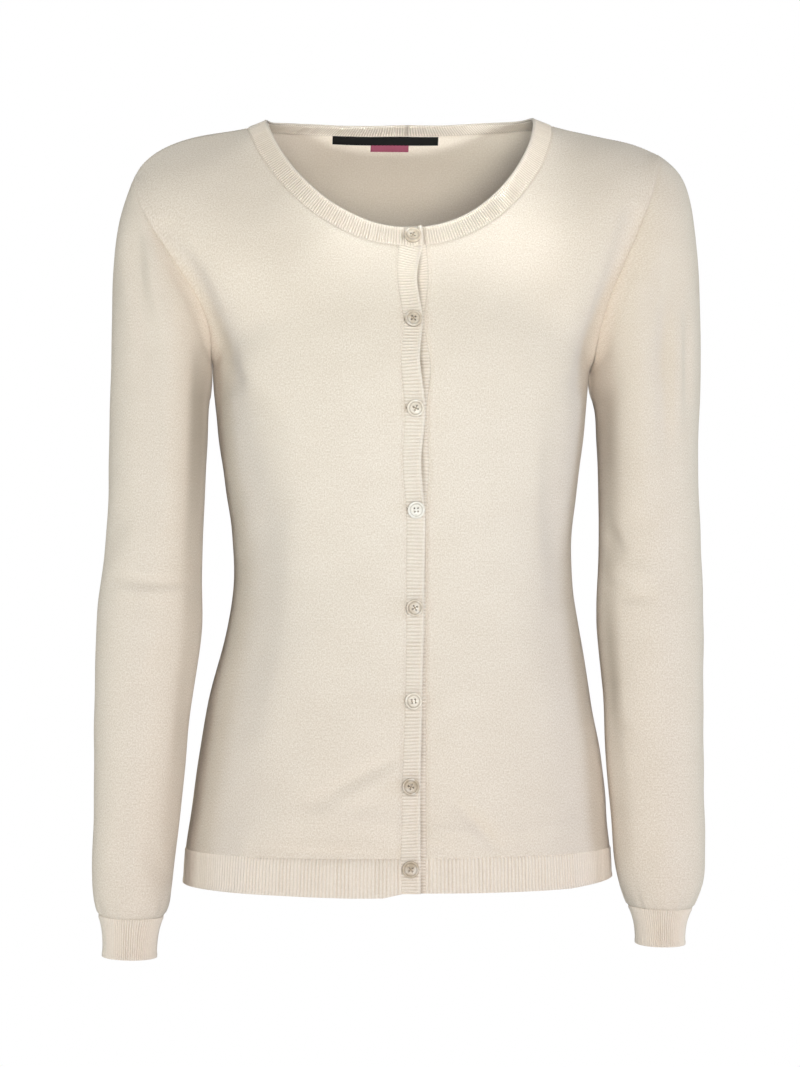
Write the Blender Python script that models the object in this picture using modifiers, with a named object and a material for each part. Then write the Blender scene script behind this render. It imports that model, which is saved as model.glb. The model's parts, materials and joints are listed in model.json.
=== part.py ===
"""A fine-knit button cardigan, filled out as if worn, hollow and open at neck, hem and cuffs.

Metres, +Z up. The front faces -Y and the wearer's left arm is at +X. The origin lies midway
between the two high points of the neck, where a wearer's shoulders carry the garment.

Every cloth piece is a grid of points on the outside of the garment. Pieces that are sewn
together share the points of their seam, so that they meet, and each becomes a closed wall.
"""

import math
from collections import namedtuple

import bmesh
import bpy
from mathutils import Matrix, Vector

# ---------------------------------------------------------------- driving dimensions
PANEL_WALL = 0.0015          # plain jersey
RIB_WALL = 0.0017            # ribbed bands, under their ribs
RIB_RAISE = 0.0008           # how far a rib stands out
RIB_PITCH = 0.0048           # from rib to rib, every second knitted rib
SEAM_GAP = 0.00036           # air left between two sewn pieces

HEM_BOTTOM = -0.5745         # lowest edge of the body
HEM_RIB_TOP = -0.5490        # where the hem's ribbing starts
UNDERARM = {"right": -0.1840, "left": -0.1880}
ARMHOLE_ROWS = 12            # rows of a panel beside the armhole
NECK_ROWS = 9                # rows of a front that end on the neck seam
PANEL_COLUMNS = 8            # columns from the front edge to the side, and along a shoulder
BACK_NECK_COLUMNS = 5        # columns from the centre back to a shoulder seam
LAST_LEVEL = -0.21           # the level rows of the body stop here, below the underarm
HEM_SPREAD = 0.5             # share of a panel's slope that its ribbing keeps

BAND_LAP = 0.0013            # how far the buttonhole band stands in front of the centre line
BAND_UNDER = 0.0018          # how far the button band lies behind it
LAP_FADE = 45                # degrees round the neck from the front where that is gone

BUTTON_RADIUS = 0.00625
BUTTON_THICK = 0.0026
BUTTON_HOLE_RADIUS = 0.00065
BUTTON_HOLE_SPACING = 0.0028
BUTTON_HOLE_SIDES = 5
BUTTON_STEPS = 12
BUTTON_CLEAR = 0.0003        # air between a button and its band
BUTTON_REACH = 0.006         # above and below its middle, where a button finds its slope

# Half of a button's section: shares of its radius and of half its thickness.
ButtonTurn = namedtuple("ButtonTurn", "out height")
BUTTON_SECTION = (
    ButtonTurn(0.00, 0.30), ButtonTurn(0.52, 0.35), ButtonTurn(0.72, 0.85), ButtonTurn(0.88, 1.00),
    ButtonTurn(1.00, 0.35), ButtonTurn(0.96, -0.60), ButtonTurn(0.70, -1.00),
    ButtonTurn(0.00, -1.00),
)

LABEL_WIDTH = 0.082
LABEL_HEIGHT = 0.0085
LABEL_CENTRE = -0.005
TAB_WIDTH = 0.033
TAB_HEIGHT = 0.0055
TAB_CENTRE = -0.002
LABEL_THICK = 0.0008
LABEL_TOP = -0.06            # its upper edge, in rows below the neck seam
TAB_TOP = -0.585
PATCH_CLEAR = 0.0005         # air between a label and the back

SIDES = {"right": -1.0, "left": 1.0}

# ---------------------------------------------------------------- the form, in short tables
SideLine = namedtuple("SideLine", "height right left")
SIDE_LINE = (
    SideLine(-0.580, 0.1655, 0.1620),
    SideLine(-0.535, 0.1597, 0.1577),
    SideLine(-0.480, 0.1521, 0.1521),
    SideLine(-0.430, 0.1425, 0.1436),
    SideLine(-0.390, 0.1322, 0.1368),
    SideLine(-0.345, 0.1256, 0.1296),
    SideLine(-0.300, 0.1288, 0.1316),
    SideLine(-0.250, 0.1358, 0.1378),
    SideLine(-0.205, 0.1412, 0.1438),
    SideLine(-0.180, 0.1424, 0.1450),
)

CentreLine = namedtuple("CentreLine", "height front back")
CENTRE_LINE = (
    CentreLine(-0.580, 0.1080, 0.1170),
    CentreLine(-0.535, 0.1075, 0.1160),
    CentreLine(-0.480, 0.1060, 0.1110),
    CentreLine(-0.430, 0.1030, 0.0990),
    CentreLine(-0.390, 0.1005, 0.0890),
    CentreLine(-0.345, 0.0995, 0.0830),
    CentreLine(-0.300, 0.1040, 0.0870),
    CentreLine(-0.250, 0.1140, 0.0960),
    CentreLine(-0.205, 0.1185, 0.1020),
    CentreLine(-0.170, 0.1160, 0.1040),
    CentreLine(-0.130, 0.1020, 0.1030),
    CentreLine(-0.1025, 0.0885, 0.1010),
    CentreLine(-0.088, 0.0805, 0.0995),
    CentreLine(-0.040, 0.0500, 0.0895),
    CentreLine(-0.0035, 0.0060, 0.0690),
    CentreLine(0.0025, 0.0000, 0.0570),
)

# Shifts of the front edges, which gape a little between the upper buttons.
FrontEdge = namedtuple("FrontEdge", "height over_edge over_seam under_seam")
FRONT_EDGE = (
    FrontEdge(-0.5745, 0.0055, -0.0098, 0.0105),
    FrontEdge(-0.4960, 0.0056, -0.0080, 0.0104),
    FrontEdge(-0.4348, 0.0070, -0.0056, 0.0104),
    FrontEdge(-0.3675, 0.0088, -0.0044, 0.0108),
    FrontEdge(-0.2955, 0.0088, -0.0052, 0.0106),
    FrontEdge(-0.2530, 0.0052, -0.0085, 0.0119),
    FrontEdge(-0.2230, 0.0080, -0.0075, 0.0098),
    FrontEdge(-0.1850, 0.0040, -0.0098, 0.0124),
    FrontEdge(-0.1576, 0.0066, -0.0078, 0.0085),
    FrontEdge(-0.1270, 0.0034, -0.0112, 0.0128),
    FrontEdge(-0.1025, 0.0075, -0.0093, 0.0120),
)
NECKBAND_OVER_END = 0.0092   # the neckband's upper end, past the centre
NECKBAND_UNDER_END = -0.0070  # its lower end, behind the upper one

NeckLine = namedtuple("NeckLine", "half_width front back front_drop side_drop back_drop")
NECK_EDGE = NeckLine(0.1010, 0.0805, 0.0570, 0.0880, 0.0000, -0.0025)
NECK_SEAM = NeckLine(0.1155, 0.0885, 0.0690, 0.1025, 0.0055, 0.0035)
NECK_LIFT = {-1.0: -0.0008, 1.0: 0.0024}  # how much higher the neck stands, right and left
LIFT_IN_FRONT, LIFT_BEHIND = 3, 0.8      # how quickly that fades towards the centre
NECK_FALL = 1.36             # how fast the front neckline falls away from the shoulders
NECK_ROUND = 0.90

# Four control points of each shoulder line, from the neck seam to the sleeve.
ShoulderPoint = namedtuple("ShoulderPoint", "out height")
SHOULDER = {
    "right": (ShoulderPoint(0.1155, -0.0063), ShoulderPoint(0.1640, -0.0150),
              ShoulderPoint(0.1920, -0.0220), ShoulderPoint(0.2020, -0.0460)),
    "left": (ShoulderPoint(0.1155, -0.0031), ShoulderPoint(0.1450, -0.0113),
             ShoulderPoint(0.1790, -0.0135), ShoulderPoint(0.1970, -0.0237)),
}
SHOULDER_BACK = 0.003        # the sleeve's top lies a little behind the neck's high point

Armhole = namedtuple("Armhole", "front back bow scoop_front scoop_back")
ARMHOLE = {"right": Armhole(0.052, 0.057, 1.0, 0.0020, 0.0010),
           "left": Armhole(0.052, 0.057, 0.6, 0.0035, 0.0020)}

# How the rows of an upper panel meet the armhole: share of the way up it, the turn
# away from the front, and the fall along the row.
ArmholeTurn = namedtuple("ArmholeTurn", "share turn fall")
ARMHOLE_TURN = (
    ArmholeTurn(0.00, 90.0, 0.00),
    ArmholeTurn(0.15, 76.0, 0.00),
    ArmholeTurn(0.33, 58.0, 0.02),
    ArmholeTurn(0.50, 44.0, 0.08),
    ArmholeTurn(0.67, 32.0, 0.20),
    ArmholeTurn(0.83, 18.0, 0.40),
    ArmholeTurn(1.00, 0.0, 0.75),
)
FULLNESS = 0.60              # how square a level cut through the body is
FRONT_ROW_DIP = (0.0, 0.12, 0.30, 0.55)  # how far the rows near the neck's front start downwards
NECK_ROW_DIP = 0.60
NECK_AWAY = Vector((0, -0.3, -1))        # the way they dip, below the neck

# How far a row keeps its first and its last direction, in shares of its length: at the
# underarm, and how much less at the shoulder. The power says how quickly the rows come to
# follow the shoulder seam.
RowReach = namedtuple("RowReach", "start start_less end end_less power")
FRONT_REACH = RowReach(0.46, 0.12, 0.39, 0.05, 4)
BACK_REACH = RowReach(0.46, 0.08, 0.36, 0.02, 3)
FAIRING = 0.45               # share of a point's uneven bending taken out in a pass
FAIR_PASSES = 30

# Rings down each sleeve, as seen from the front: the inner side, the outer side, and how
# far the ring lies forward and reaches front to back.
SleeveRing = namedtuple("SleeveRing", "inner inner_height outer outer_height centre half_depth")
SLEEVE = {
    "right": (
        SleeveRing(0.1426, -0.1980, 0.2107, -0.0745, -0.001, 0.0555),
        SleeveRing(0.1444, -0.2160, 0.2150, -0.1080, -0.003, 0.0540),
        SleeveRing(0.1454, -0.2400, 0.2175, -0.1480, -0.006, 0.0515),
        SleeveRing(0.1470, -0.2680, 0.2183, -0.1950, -0.009, 0.0495),
        SleeveRing(0.1484, -0.2980, 0.2193, -0.2450, -0.012, 0.0475),
        SleeveRing(0.1495, -0.3280, 0.2202, -0.2930, -0.015, 0.0455),
        SleeveRing(0.1502, -0.3520, 0.2240, -0.3350, -0.018, 0.0445),
        SleeveRing(0.1504, -0.3780, 0.2280, -0.3680, -0.021, 0.0440),
        SleeveRing(0.1530, -0.4060, 0.2294, -0.4000, -0.025, 0.0430),
        SleeveRing(0.1580, -0.4400, 0.2301, -0.4380, -0.029, 0.0410),
        SleeveRing(0.1625, -0.4790, 0.2309, -0.4780, -0.032, 0.0390),
        SleeveRing(0.1666, -0.5170, 0.2313, -0.5170, -0.034, 0.0370),
        SleeveRing(0.1706, -0.5540, 0.2314, -0.5540, -0.035, 0.0355),
        SleeveRing(0.1734, -0.5800, 0.2309, -0.5800, -0.036, 0.0345),
        SleeveRing(0.1756, -0.5900, 0.2292, -0.5890, -0.036, 0.0330),
        SleeveRing(0.1790, -0.5965, 0.2272, -0.5955, -0.036, 0.0305),
    ),
    "left": (
        SleeveRing(0.1447, -0.1945, 0.2142, -0.0405, 0.000, 0.0560),
        SleeveRing(0.1450, -0.2030, 0.2212, -0.0590, -0.001, 0.0555),
        SleeveRing(0.1482, -0.2180, 0.2250, -0.0930, -0.003, 0.0540),
        SleeveRing(0.1494, -0.2400, 0.2276, -0.1380, -0.006, 0.0515),
        SleeveRing(0.1499, -0.2660, 0.2274, -0.1870, -0.009, 0.0495),
        SleeveRing(0.1499, -0.2960, 0.2260, -0.2380, -0.012, 0.0475),
        SleeveRing(0.1496, -0.3260, 0.2252, -0.2880, -0.015, 0.0455),
        SleeveRing(0.1484, -0.3500, 0.2266, -0.3310, -0.018, 0.0445),
        SleeveRing(0.1477, -0.3760, 0.2279, -0.3650, -0.021, 0.0440),
        SleeveRing(0.1488, -0.4040, 0.2276, -0.3980, -0.025, 0.0430),
        SleeveRing(0.1508, -0.4380, 0.2263, -0.4360, -0.029, 0.0415),
        SleeveRing(0.1528, -0.4780, 0.2260, -0.4780, -0.032, 0.0400),
        SleeveRing(0.1556, -0.5170, 0.2264, -0.5170, -0.034, 0.0385),
        SleeveRing(0.1588, -0.5540, 0.2269, -0.5540, -0.035, 0.0370),
        SleeveRing(0.1630, -0.5765, 0.2245, -0.5770, -0.036, 0.0350),
        SleeveRing(0.1663, -0.5855, 0.2205, -0.5865, -0.036, 0.0330),
        SleeveRing(0.1695, -0.5925, 0.2168, -0.5935, -0.036, 0.0305),
    ),
}
# Each cuff's top ring is its sleeve's last; these are its middle and its lower edge.
CUFF = {
    "right": (SleeveRing(0.1815, -0.6030, 0.2258, -0.6020, -0.036, 0.0290),
              SleeveRing(0.1849, -0.6265, 0.2243, -0.6255, -0.037, 0.0285)),
    "left": (SleeveRing(0.1722, -0.6000, 0.2136, -0.6010, -0.036, 0.0290),
             SleeveRing(0.1748, -0.6205, 0.2110, -0.6205, -0.037, 0.0285)),
}
UNDERARM_CLEARANCE = 0.0008  # how far a sleeve's underside stands off the body below the armhole
CLEAR_FROM, CLEAR_FULL = 105, 165  # degrees round the armhole between which it comes in

ButtonPlace = namedtuple("ButtonPlace", "across height")
BUTTONS = (
    ButtonPlace(0.0017, -0.0953),
    ButtonPlace(-0.0003, -0.1578),
    ButtonPlace(0.0007, -0.2222),
    ButtonPlace(0.0023, -0.2954),
    ButtonPlace(0.0017, -0.3672),
    ButtonPlace(0.0005, -0.4349),
    ButtonPlace(-0.0018, -0.4967),
    ButtonPlace(-0.0020, -0.5565),
)

# The largest soft folds: a line seen from the front, its half width and its height.
FOLD_FADE = 0.02             # folds come in over this distance from the side line
Fold = namedtuple("Fold", "face start_x start_z end_x end_z half_width height")
FOLDS = (
    Fold("front", -0.176, -0.108, -0.136, -0.188, 0.020, -0.0030),   # beside the right armhole
    Fold("front", 0.170, -0.100, 0.138, -0.190, 0.020, -0.0026),     # beside the left armhole
    Fold("front", -0.192, -0.095, -0.184, -0.165, 0.018, -0.0022),   # upper right sleeve
    Fold("front", 0.205, -0.110, 0.190, -0.190, 0.020, -0.0020),     # upper left sleeve
    Fold("front", -0.210, -0.354, -0.150, -0.350, 0.018, -0.0024),   # right elbow
    Fold("front", 0.196, -0.362, 0.146, -0.345, 0.018, -0.0024),     # left elbow
    Fold("front", -0.115, -0.520, -0.030, -0.540, 0.022, -0.0018),   # above the hem
    Fold("front", 0.045, -0.545, 0.085, -0.515, 0.020, 0.0018),      # above the hem
    Fold("back", -0.160, -0.110, -0.128, -0.200, 0.022, -0.0028),    # beside the right armhole
    Fold("back", 0.160, -0.110, 0.128, -0.200, 0.022, -0.0028),      # beside the left armhole
    Fold("back", -0.080, -0.345, 0.085, -0.335, 0.020, -0.0022),     # small of the back
    Fold("back", -0.070, -0.395, 0.060, -0.380, 0.022, 0.0018),      # small of the back
)

SHARP_ANGLE = math.radians(40)
CREAM = (0.80, 0.72, 0.60)
RIB_CREAM = (0.78, 0.70, 0.58)
SHELL = (0.62, 0.54, 0.43)
BLACK = (0.012, 0.012, 0.013)
DUSTY_PINK = (0.42, 0.12, 0.18)


# ---------------------------------------------------------------- reading the tables
def smooth_value(table, column, at):
    """Value of a column at a height, on a smooth curve through the table's rows."""
    rows = sorted(table, key=lambda row: row[0])
    at = min(max(at, rows[0][0]), rows[-1][0])
    last = len(rows) - 1
    low = max(index for index in range(last) if rows[index][0] <= at)
    values = [getattr(row, column) for row in rows]

    def slope(index):
        before, after = max(index - 1, 0), min(index + 1, last)
        return (values[after] - values[before]) / (rows[after][0] - rows[before][0])

    span = rows[low + 1][0] - rows[low][0]
    t = (at - rows[low][0]) / span
    rise = t * t * (3 - 2 * t)
    return (values[low] * (1 - rise) + values[low + 1] * rise
            + span * slope(low) * t * (1 - t) ** 2 - span * slope(low + 1) * t * t * (1 - t))


def smooth_step(low, high, value):
    """0 below low, 1 above high, and a soft rise between."""
    t = min(max((value - low) / (high - low), 0.0), 1.0)
    return t * t * (3 - 2 * t)


def bezier(points, t):
    """Point on the cubic curve of four control points."""
    s = 1 - t
    return (points[0] * s ** 3 + points[1] * 3 * s * s * t
            + points[2] * 3 * s * t * t + points[3] * t ** 3)


# ---------------------------------------------------------------- the garment's lines
def neck_point(line, side, degrees):
    """Point on a neckline: 0 at the centre front, 90 at the shoulder, 180 at the centre back."""
    angle = math.radians(degrees)
    toward = abs(math.cos(angle))
    if degrees <= 90:
        y = -line.front * toward ** NECK_ROUND
        drop = line.side_drop + (line.front_drop - line.side_drop) * toward ** NECK_FALL
    else:
        y = line.back * toward ** NECK_ROUND
        drop = line.side_drop + (line.back_drop - line.side_drop) * toward
    fade = LIFT_IN_FRONT if degrees <= 90 else LIFT_BEHIND
    lift = NECK_LIFT[side] * max(math.sin(angle), 0.0) ** fade
    return Vector((side * line.half_width * math.sin(angle), y, lift - drop))


def shoulder_point(side_name, share):
    """Point on a shoulder seam, from the neck to the sleeve."""
    controls = [Vector((SIDES[side_name] * point.out, SHOULDER_BACK * index / 3, point.height))
                for index, point in enumerate(SHOULDER[side_name])]
    return bezier(controls, share)


def armhole_point(side_name, degrees):
    """Point on an armhole: 0 at the shoulder, 180 under the arm, by the front; 360 by the back."""
    angle = math.radians(degrees)
    side = SIDES[side_name]
    hole = ARMHOLE[side_name]
    top = shoulder_point(side_name, 1.0)
    under_width = smooth_value(SIDE_LINE, side_name, UNDERARM[side_name])
    under = Vector((side * under_width, 0, UNDERARM[side_name]))
    share = (1 + math.cos(angle)) / 2
    point = under.lerp(top, share)
    bowed = share + (smooth_step(0, 1, share) - share) * hole.bow
    point.x = under.x + (top.x - under.x) * bowed
    in_front = math.sin(angle) > 0
    reach = hole.front if in_front else hole.back
    scoop = hole.scoop_front if in_front else hole.scoop_back
    point.y -= reach * math.sin(angle)
    point.x -= side * scoop * math.sin(angle) ** 2
    return point


def front_centre(x, height, lap):
    """Point of the centre front; lap moves it towards the viewer."""
    return Vector((x, -smooth_value(CENTRE_LINE, "front", height) - lap, height))


def row_curve(start, end, start_way, end_way, start_reach, end_reach, count):
    """Points of one row of a panel, from its front or centre edge to its side."""
    controls = [start, start + start_way.normalized() * start_reach,
                end - end_way.normalized() * end_reach, end]
    return [bezier(controls, index / count) for index in range(count + 1)]


def upper_row(start, end, start_way, end_way, reach, share, count):
    """One row of a panel beside the armhole, at a share of the way up it."""
    chord = (end - start).length
    return row_curve(start, end, start_way, end_way,
                     chord * (reach.start - reach.start_less * share),
                     chord * (reach.end - reach.end_less * share), count)


def body_levels(side_name):
    """Heights of the rows below the armhole: one at each button and one half-way between."""
    marks = [place.height for place in BUTTONS]
    halves = [(marks[index] + marks[index + 1]) / 2 for index in range(len(marks) - 1)]
    inner = [mark for mark in marks + halves if HEM_RIB_TOP < mark < LAST_LEVEL]
    return sorted(inner + [HEM_RIB_TOP, UNDERARM[side_name]])


def armhole_way(side, facing, share):
    """Direction in which a row runs into the armhole."""
    turn = math.radians(smooth_value(ARMHOLE_TURN, "turn", share))
    fall = smooth_value(ARMHOLE_TURN, "fall", share)
    return Vector((side * math.cos(turn), -facing * math.sin(turn), -fall))


def bend_at(grid, r, c):
    """How far a point lies from the middle of its four neighbours; none on an edge."""
    if r in (0, len(grid) - 1) or c in (0, len(grid[r]) - 1):
        return Vector()
    return (grid[r - 1][c] + grid[r + 1][c] + grid[r][c - 1] + grid[r][c + 1]) / 4 - grid[r][c]


def bend_at_centre(grid, r):
    """The same on the centre front, where the two fronts mirror each other."""
    here = grid[r][0]
    return Vector((0, (grid[r - 1][0].y + grid[r + 1][0].y + 2 * grid[r][1].y) / 4 - here.y, 0))


def fair(grid, first_row, passes, mirror_rows=0):
    """Spread the bending of a panel evenly from a row upwards, as a stiff sheet would."""
    for _ in range(passes):
        bends = [[bend_at(grid, r, c) for c in range(len(grid[r]))] for r in range(len(grid))]
        for r in range(1, mirror_rows):
            bends[r][0] = bend_at_centre(grid, r)
        for r in range(first_row, len(grid) - 1):
            for c in range(1, len(grid[r]) - 1):
                grid[r][c] = grid[r][c] - bend_at(bends, r, c) * FAIRING


# ---------------------------------------------------------------- the body's panels
def front_grid(side_name):
    """A front: rows from the hem up to the shoulder seam, columns from its band to its side."""
    side = SIDES[side_name]
    over = side_name == "right"
    seam = "over_seam" if over else "under_seam"
    lap = BAND_LAP if over else -BAND_UNDER

    def edge(height):
        return front_centre(smooth_value(FRONT_EDGE, seam, height), height, lap)

    grid = []
    for height in body_levels(side_name):
        start = edge(height)
        end = Vector((side * smooth_value(SIDE_LINE, side_name, height), 0, height))
        grid.append(row_curve(start, end, Vector((side, 0, 0)), Vector((0, 1, 0)),
                              FULLNESS * abs(end.x - start.x), FULLNESS * abs(start.y),
                              PANEL_COLUMNS))

    neck_height = -NECK_SEAM.front_drop
    seam_x = abs(smooth_value(FRONT_EDGE, seam, neck_height))
    first_angle = math.degrees(math.asin(seam_x / NECK_SEAM.half_width))
    plain_rows = ARMHOLE_ROWS - NECK_ROWS
    shoulder = [shoulder_point(side_name, c / PANEL_COLUMNS) for c in range(PANEL_COLUMNS + 1)]
    upper = []
    for row in range(1, ARMHOLE_ROWS + 1):
        share = row / ARMHOLE_ROWS
        end = armhole_point(side_name, 180 * (1 - share))
        if row < plain_rows:
            height = UNDERARM[side_name] + (neck_height - UNDERARM[side_name]) * row / plain_rows
            start = edge(height)
            away = NECK_AWAY
            dip = FRONT_ROW_DIP[row]
        else:
            angle = first_angle + (90 - first_angle) * (row - plain_rows) / NECK_ROWS
            start = neck_point(NECK_SEAM, side, angle)
            start.y -= lap * (1 - smooth_step(first_angle, LAP_FADE, angle))
            away = start - neck_point(NECK_EDGE, side, angle)
            dip = FRONT_ROW_DIP[-1] if row == plain_rows else NECK_ROW_DIP
        along = (end - start).normalized()
        level = Vector((side, 0, 0)).lerp(along, share)
        start_way = level * (1 - dip) + away.normalized() * dip
        upper.append(upper_row(start, end, start_way, armhole_way(side, -1, share),
                               FRONT_REACH, share, PANEL_COLUMNS))
    correct_towards(upper, shoulder, FRONT_REACH.power)
    grid += upper
    fair(grid, len(grid) - ARMHOLE_ROWS - 2, FAIR_PASSES, len(grid) - NECK_ROWS - 1)
    return grid


def correct_towards(rows, last_line, power):
    """Bend the rows so that the last one lies on a given line, and the others less and less."""
    offsets = [target - point for target, point in zip(last_line, rows[-1])]
    for index, row in enumerate(rows):
        share = ((index + 1) / len(rows)) ** power
        for column, offset in enumerate(offsets):
            row[column] = row[column] + offset * share


def back_half(side_name):
    """Half of the back: rows from the hem up, columns from the centre back to the side."""
    side = SIDES[side_name]
    columns = BACK_NECK_COLUMNS + PANEL_COLUMNS
    grid = []
    for height in body_levels(side_name):
        depth = smooth_value(CENTRE_LINE, "back", height)
        end = Vector((side * smooth_value(SIDE_LINE, side_name, height), 0, height))
        grid.append(row_curve(Vector((0, depth, height)), end, Vector((side, 0, 0)),
                              Vector((0, -1, 0)), FULLNESS * abs(end.x), FULLNESS * depth, columns))
    top = [neck_point(NECK_SEAM, side, 180 - 90 * c / BACK_NECK_COLUMNS)
           for c in range(BACK_NECK_COLUMNS)]
    top += [shoulder_point(side_name, c / PANEL_COLUMNS) for c in range(PANEL_COLUMNS + 1)]
    upper = []
    centre_under = (UNDERARM["right"] + UNDERARM["left"]) / 2
    for row in range(1, ARMHOLE_ROWS + 1):
        share = row / ARMHOLE_ROWS
        height = centre_under + (-NECK_SEAM.back_drop - centre_under) * share
        start = Vector((0, smooth_value(CENTRE_LINE, "back", height), height))
        end = armhole_point(side_name, 180 + 180 * share)
        upper.append(upper_row(start, end, Vector((side, 0, 0)), armhole_way(side, 1, share),
                               BACK_REACH, share, columns))
    correct_towards(upper, top, BACK_REACH.power)
    return grid + upper


def back_grid():
    """The back, from the wearer's right side seam across to the left one."""
    right, left = back_half("right"), back_half("left")
    grid = [list(reversed(one)) + other[1:] for one, other in zip(right, left)]
    centre = BACK_NECK_COLUMNS + PANEL_COLUMNS
    for row in range(len(grid)):
        grid[row][centre] = (right[row][0] + left[row][0]) / 2
    fair(grid, len(grid) - ARMHOLE_ROWS - 2, FAIR_PASSES)
    return grid


# ---------------------------------------------------------------- sleeves and cuffs
def ring_points(ring, side):
    """Points round one ring, in the order of the armhole's: under, front, top, back."""
    inner = Vector((side * ring.inner, ring.centre, ring.inner_height))
    outer = Vector((side * ring.outer, ring.centre, ring.outer_height))
    points = []
    for index in range(2 * ARMHOLE_ROWS):
        angle = math.radians(180 - 180 * index / ARMHOLE_ROWS)
        point = (inner + outer) / 2 + (outer - inner) / 2 * math.cos(angle)
        point.y -= ring.half_depth * math.sin(angle)
        points.append(point)
    return points


def sleeve_grid(side_name):
    """A sleeve: rings from the armhole down to the cuff's seam."""
    side = SIDES[side_name]
    first = []
    for index in range(2 * ARMHOLE_ROWS):
        degrees = 180 - 180 * index / ARMHOLE_ROWS
        point = armhole_point(side_name, degrees % 360)
        under = smooth_step(CLEAR_FROM, CLEAR_FULL, min(abs(degrees), 360 - abs(degrees)))
        point.x += side * UNDERARM_CLEARANCE * under
        first.append(point)
    return [first] + [ring_points(ring, side) for ring in SLEEVE[side_name]]


def cuff_grid(side_name, sleeve):
    """A cuff: the sleeve's last ring, then its own rings."""
    side = SIDES[side_name]
    top = [point.copy() for point in sleeve[-1]]
    return [top] + [ring_points(ring, side) for ring in CUFF[side_name]]


# ---------------------------------------------------------------- ribbed bands of the body
def hem_grid(panel):
    """The ribbing below a panel: its bottom row, and the hem's edge below it."""
    top = [point.copy() for point in panel[0]]
    bottom = []
    spread = HEM_RIB_TOP - HEM_BOTTOM
    for upper, lower in zip(panel[0], panel[1]):
        slope = (upper - lower) / (lower.z - upper.z)
        point = upper + slope * spread * HEM_SPREAD
        point.z = HEM_BOTTOM
        bottom.append(point)
    return [bottom, top]


def band_grid(panel, hem, side_name):
    """A front band: one edge is the front's seam, the other is its free edge."""
    over = side_name == "right"
    lap = BAND_LAP if over else -BAND_UNDER
    seam = [hem[0][0].copy()] + [row[0].copy() for row in panel[:len(panel) - NECK_ROWS]]
    free = []
    for point in seam:
        if over:
            x = smooth_value(FRONT_EDGE, "over_edge", point.z)
        else:
            x = NECKBAND_UNDER_END
        free.append(front_centre(x, point.z, lap))
    free[-1].x = NECKBAND_OVER_END if over else NECKBAND_UNDER_END
    return [free, seam]


def neckband_grid(fronts, back, bands):
    """The neckband: from its upper end round the neck to its lower end."""
    seam, edge = [], []

    def add(seam_point, side, degrees, lap_start, lap):
        seam.append(seam_point.copy())
        rim = neck_point(NECK_EDGE, side, degrees)
        rim.y -= lap * (1 - smooth_step(lap_start, LAP_FADE, degrees))
        edge.append(rim)

    seam.append(bands["buttonhole_band"][0][-1].copy())
    edge.append(front_centre(NECKBAND_OVER_END, -NECK_EDGE.front_drop, BAND_LAP))
    right_rows = fronts["right"][-NECK_ROWS - 1:]
    left_rows = fronts["left"][-NECK_ROWS - 1:]
    starts = {}
    for name, rows in (("right", right_rows), ("left", left_rows)):
        starts[name] = math.degrees(math.asin(abs(rows[0][0].x) / NECK_SEAM.half_width))
    for index, row in enumerate(right_rows):
        degrees = starts["right"] + (90 - starts["right"]) * index / NECK_ROWS
        add(row[0], -1.0, degrees, starts["right"], BAND_LAP)
    top = back[-1][PANEL_COLUMNS:-PANEL_COLUMNS]
    middle = BACK_NECK_COLUMNS
    for index in range(1, len(top) - 1):
        side = -1.0 if index <= middle else 1.0
        degrees = 90 + 90 * (1 - abs(index - middle) / middle)
        add(top[index], side, degrees, 0, 0)
    for index in range(NECK_ROWS, -1, -1):
        degrees = starts["left"] + (90 - starts["left"]) * index / NECK_ROWS
        add(left_rows[index][0], 1.0, degrees, starts["left"], -BAND_UNDER)
    seam.append(bands["button_band"][0][-1].copy())
    edge.append(front_centre(NECKBAND_UNDER_END, -NECK_EDGE.front_drop, -BAND_UNDER))
    return [seam, edge]


# ---------------------------------------------------------------- normals, folds and walls
class Cloth:
    """One cloth piece: its outer points, row by row, and how they become a wall."""

    def __init__(self, grid, outward, tube=False):
        self.grid = grid
        self.outward = outward        # +1 or -1: which way the grid's normals point out
        self.tube = tube              # the last column joins the first
        self.normals = []

    def find_normals(self):
        rows, columns = len(self.grid), len(self.grid[0])
        self.normals = []
        for r in range(rows):
            line = []
            for c in range(columns):
                up = self.grid[min(r + 1, rows - 1)][c] - self.grid[max(r - 1, 0)][c]
                if self.tube:
                    across = self.grid[r][(c + 1) % columns] - self.grid[r][c - 1]
                else:
                    across = self.grid[r][min(c + 1, columns - 1)] - self.grid[r][max(c - 1, 0)]
                line.append(across.cross(up).normalized() * self.outward)
            self.normals.append(line)


def place_key(point):
    return tuple(round(value, 6) for value in point)


def share_normals(cloths):
    """Give the points that two pieces share one common outward direction."""
    totals = {}
    for cloth in cloths:
        cloth.find_normals()
        for row, normals in zip(cloth.grid, cloth.normals):
            for point, normal in zip(row, normals):
                key = place_key(point)
                totals[key] = totals.get(key, Vector()) + normal
    for cloth in cloths:
        cloth.normals = [[totals[place_key(point)].normalized() for point in row]
                         for row in cloth.grid]


def fold_height(point):
    """How far the folds move a point of the surface out, or in where it is negative."""
    total = 0.0
    for fold in FOLDS:
        if (fold.face == "front") != (point.y < 0):
            continue
        start = Vector((fold.start_x, fold.start_z))
        line = Vector((fold.end_x, fold.end_z)) - start
        here = Vector((point.x, point.z)) - start
        along = here.dot(line) / line.length_squared
        beside = (here - line * along).length / fold.half_width
        past = max(-along, along - 1, 0) * line.length / fold.half_width
        away = math.hypot(beside, past)
        if away < 1:
            deep = smooth_step(0, FOLD_FADE, abs(point.y))
            total += fold.height * deep * (1 - away * away) ** 2
    return total


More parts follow.
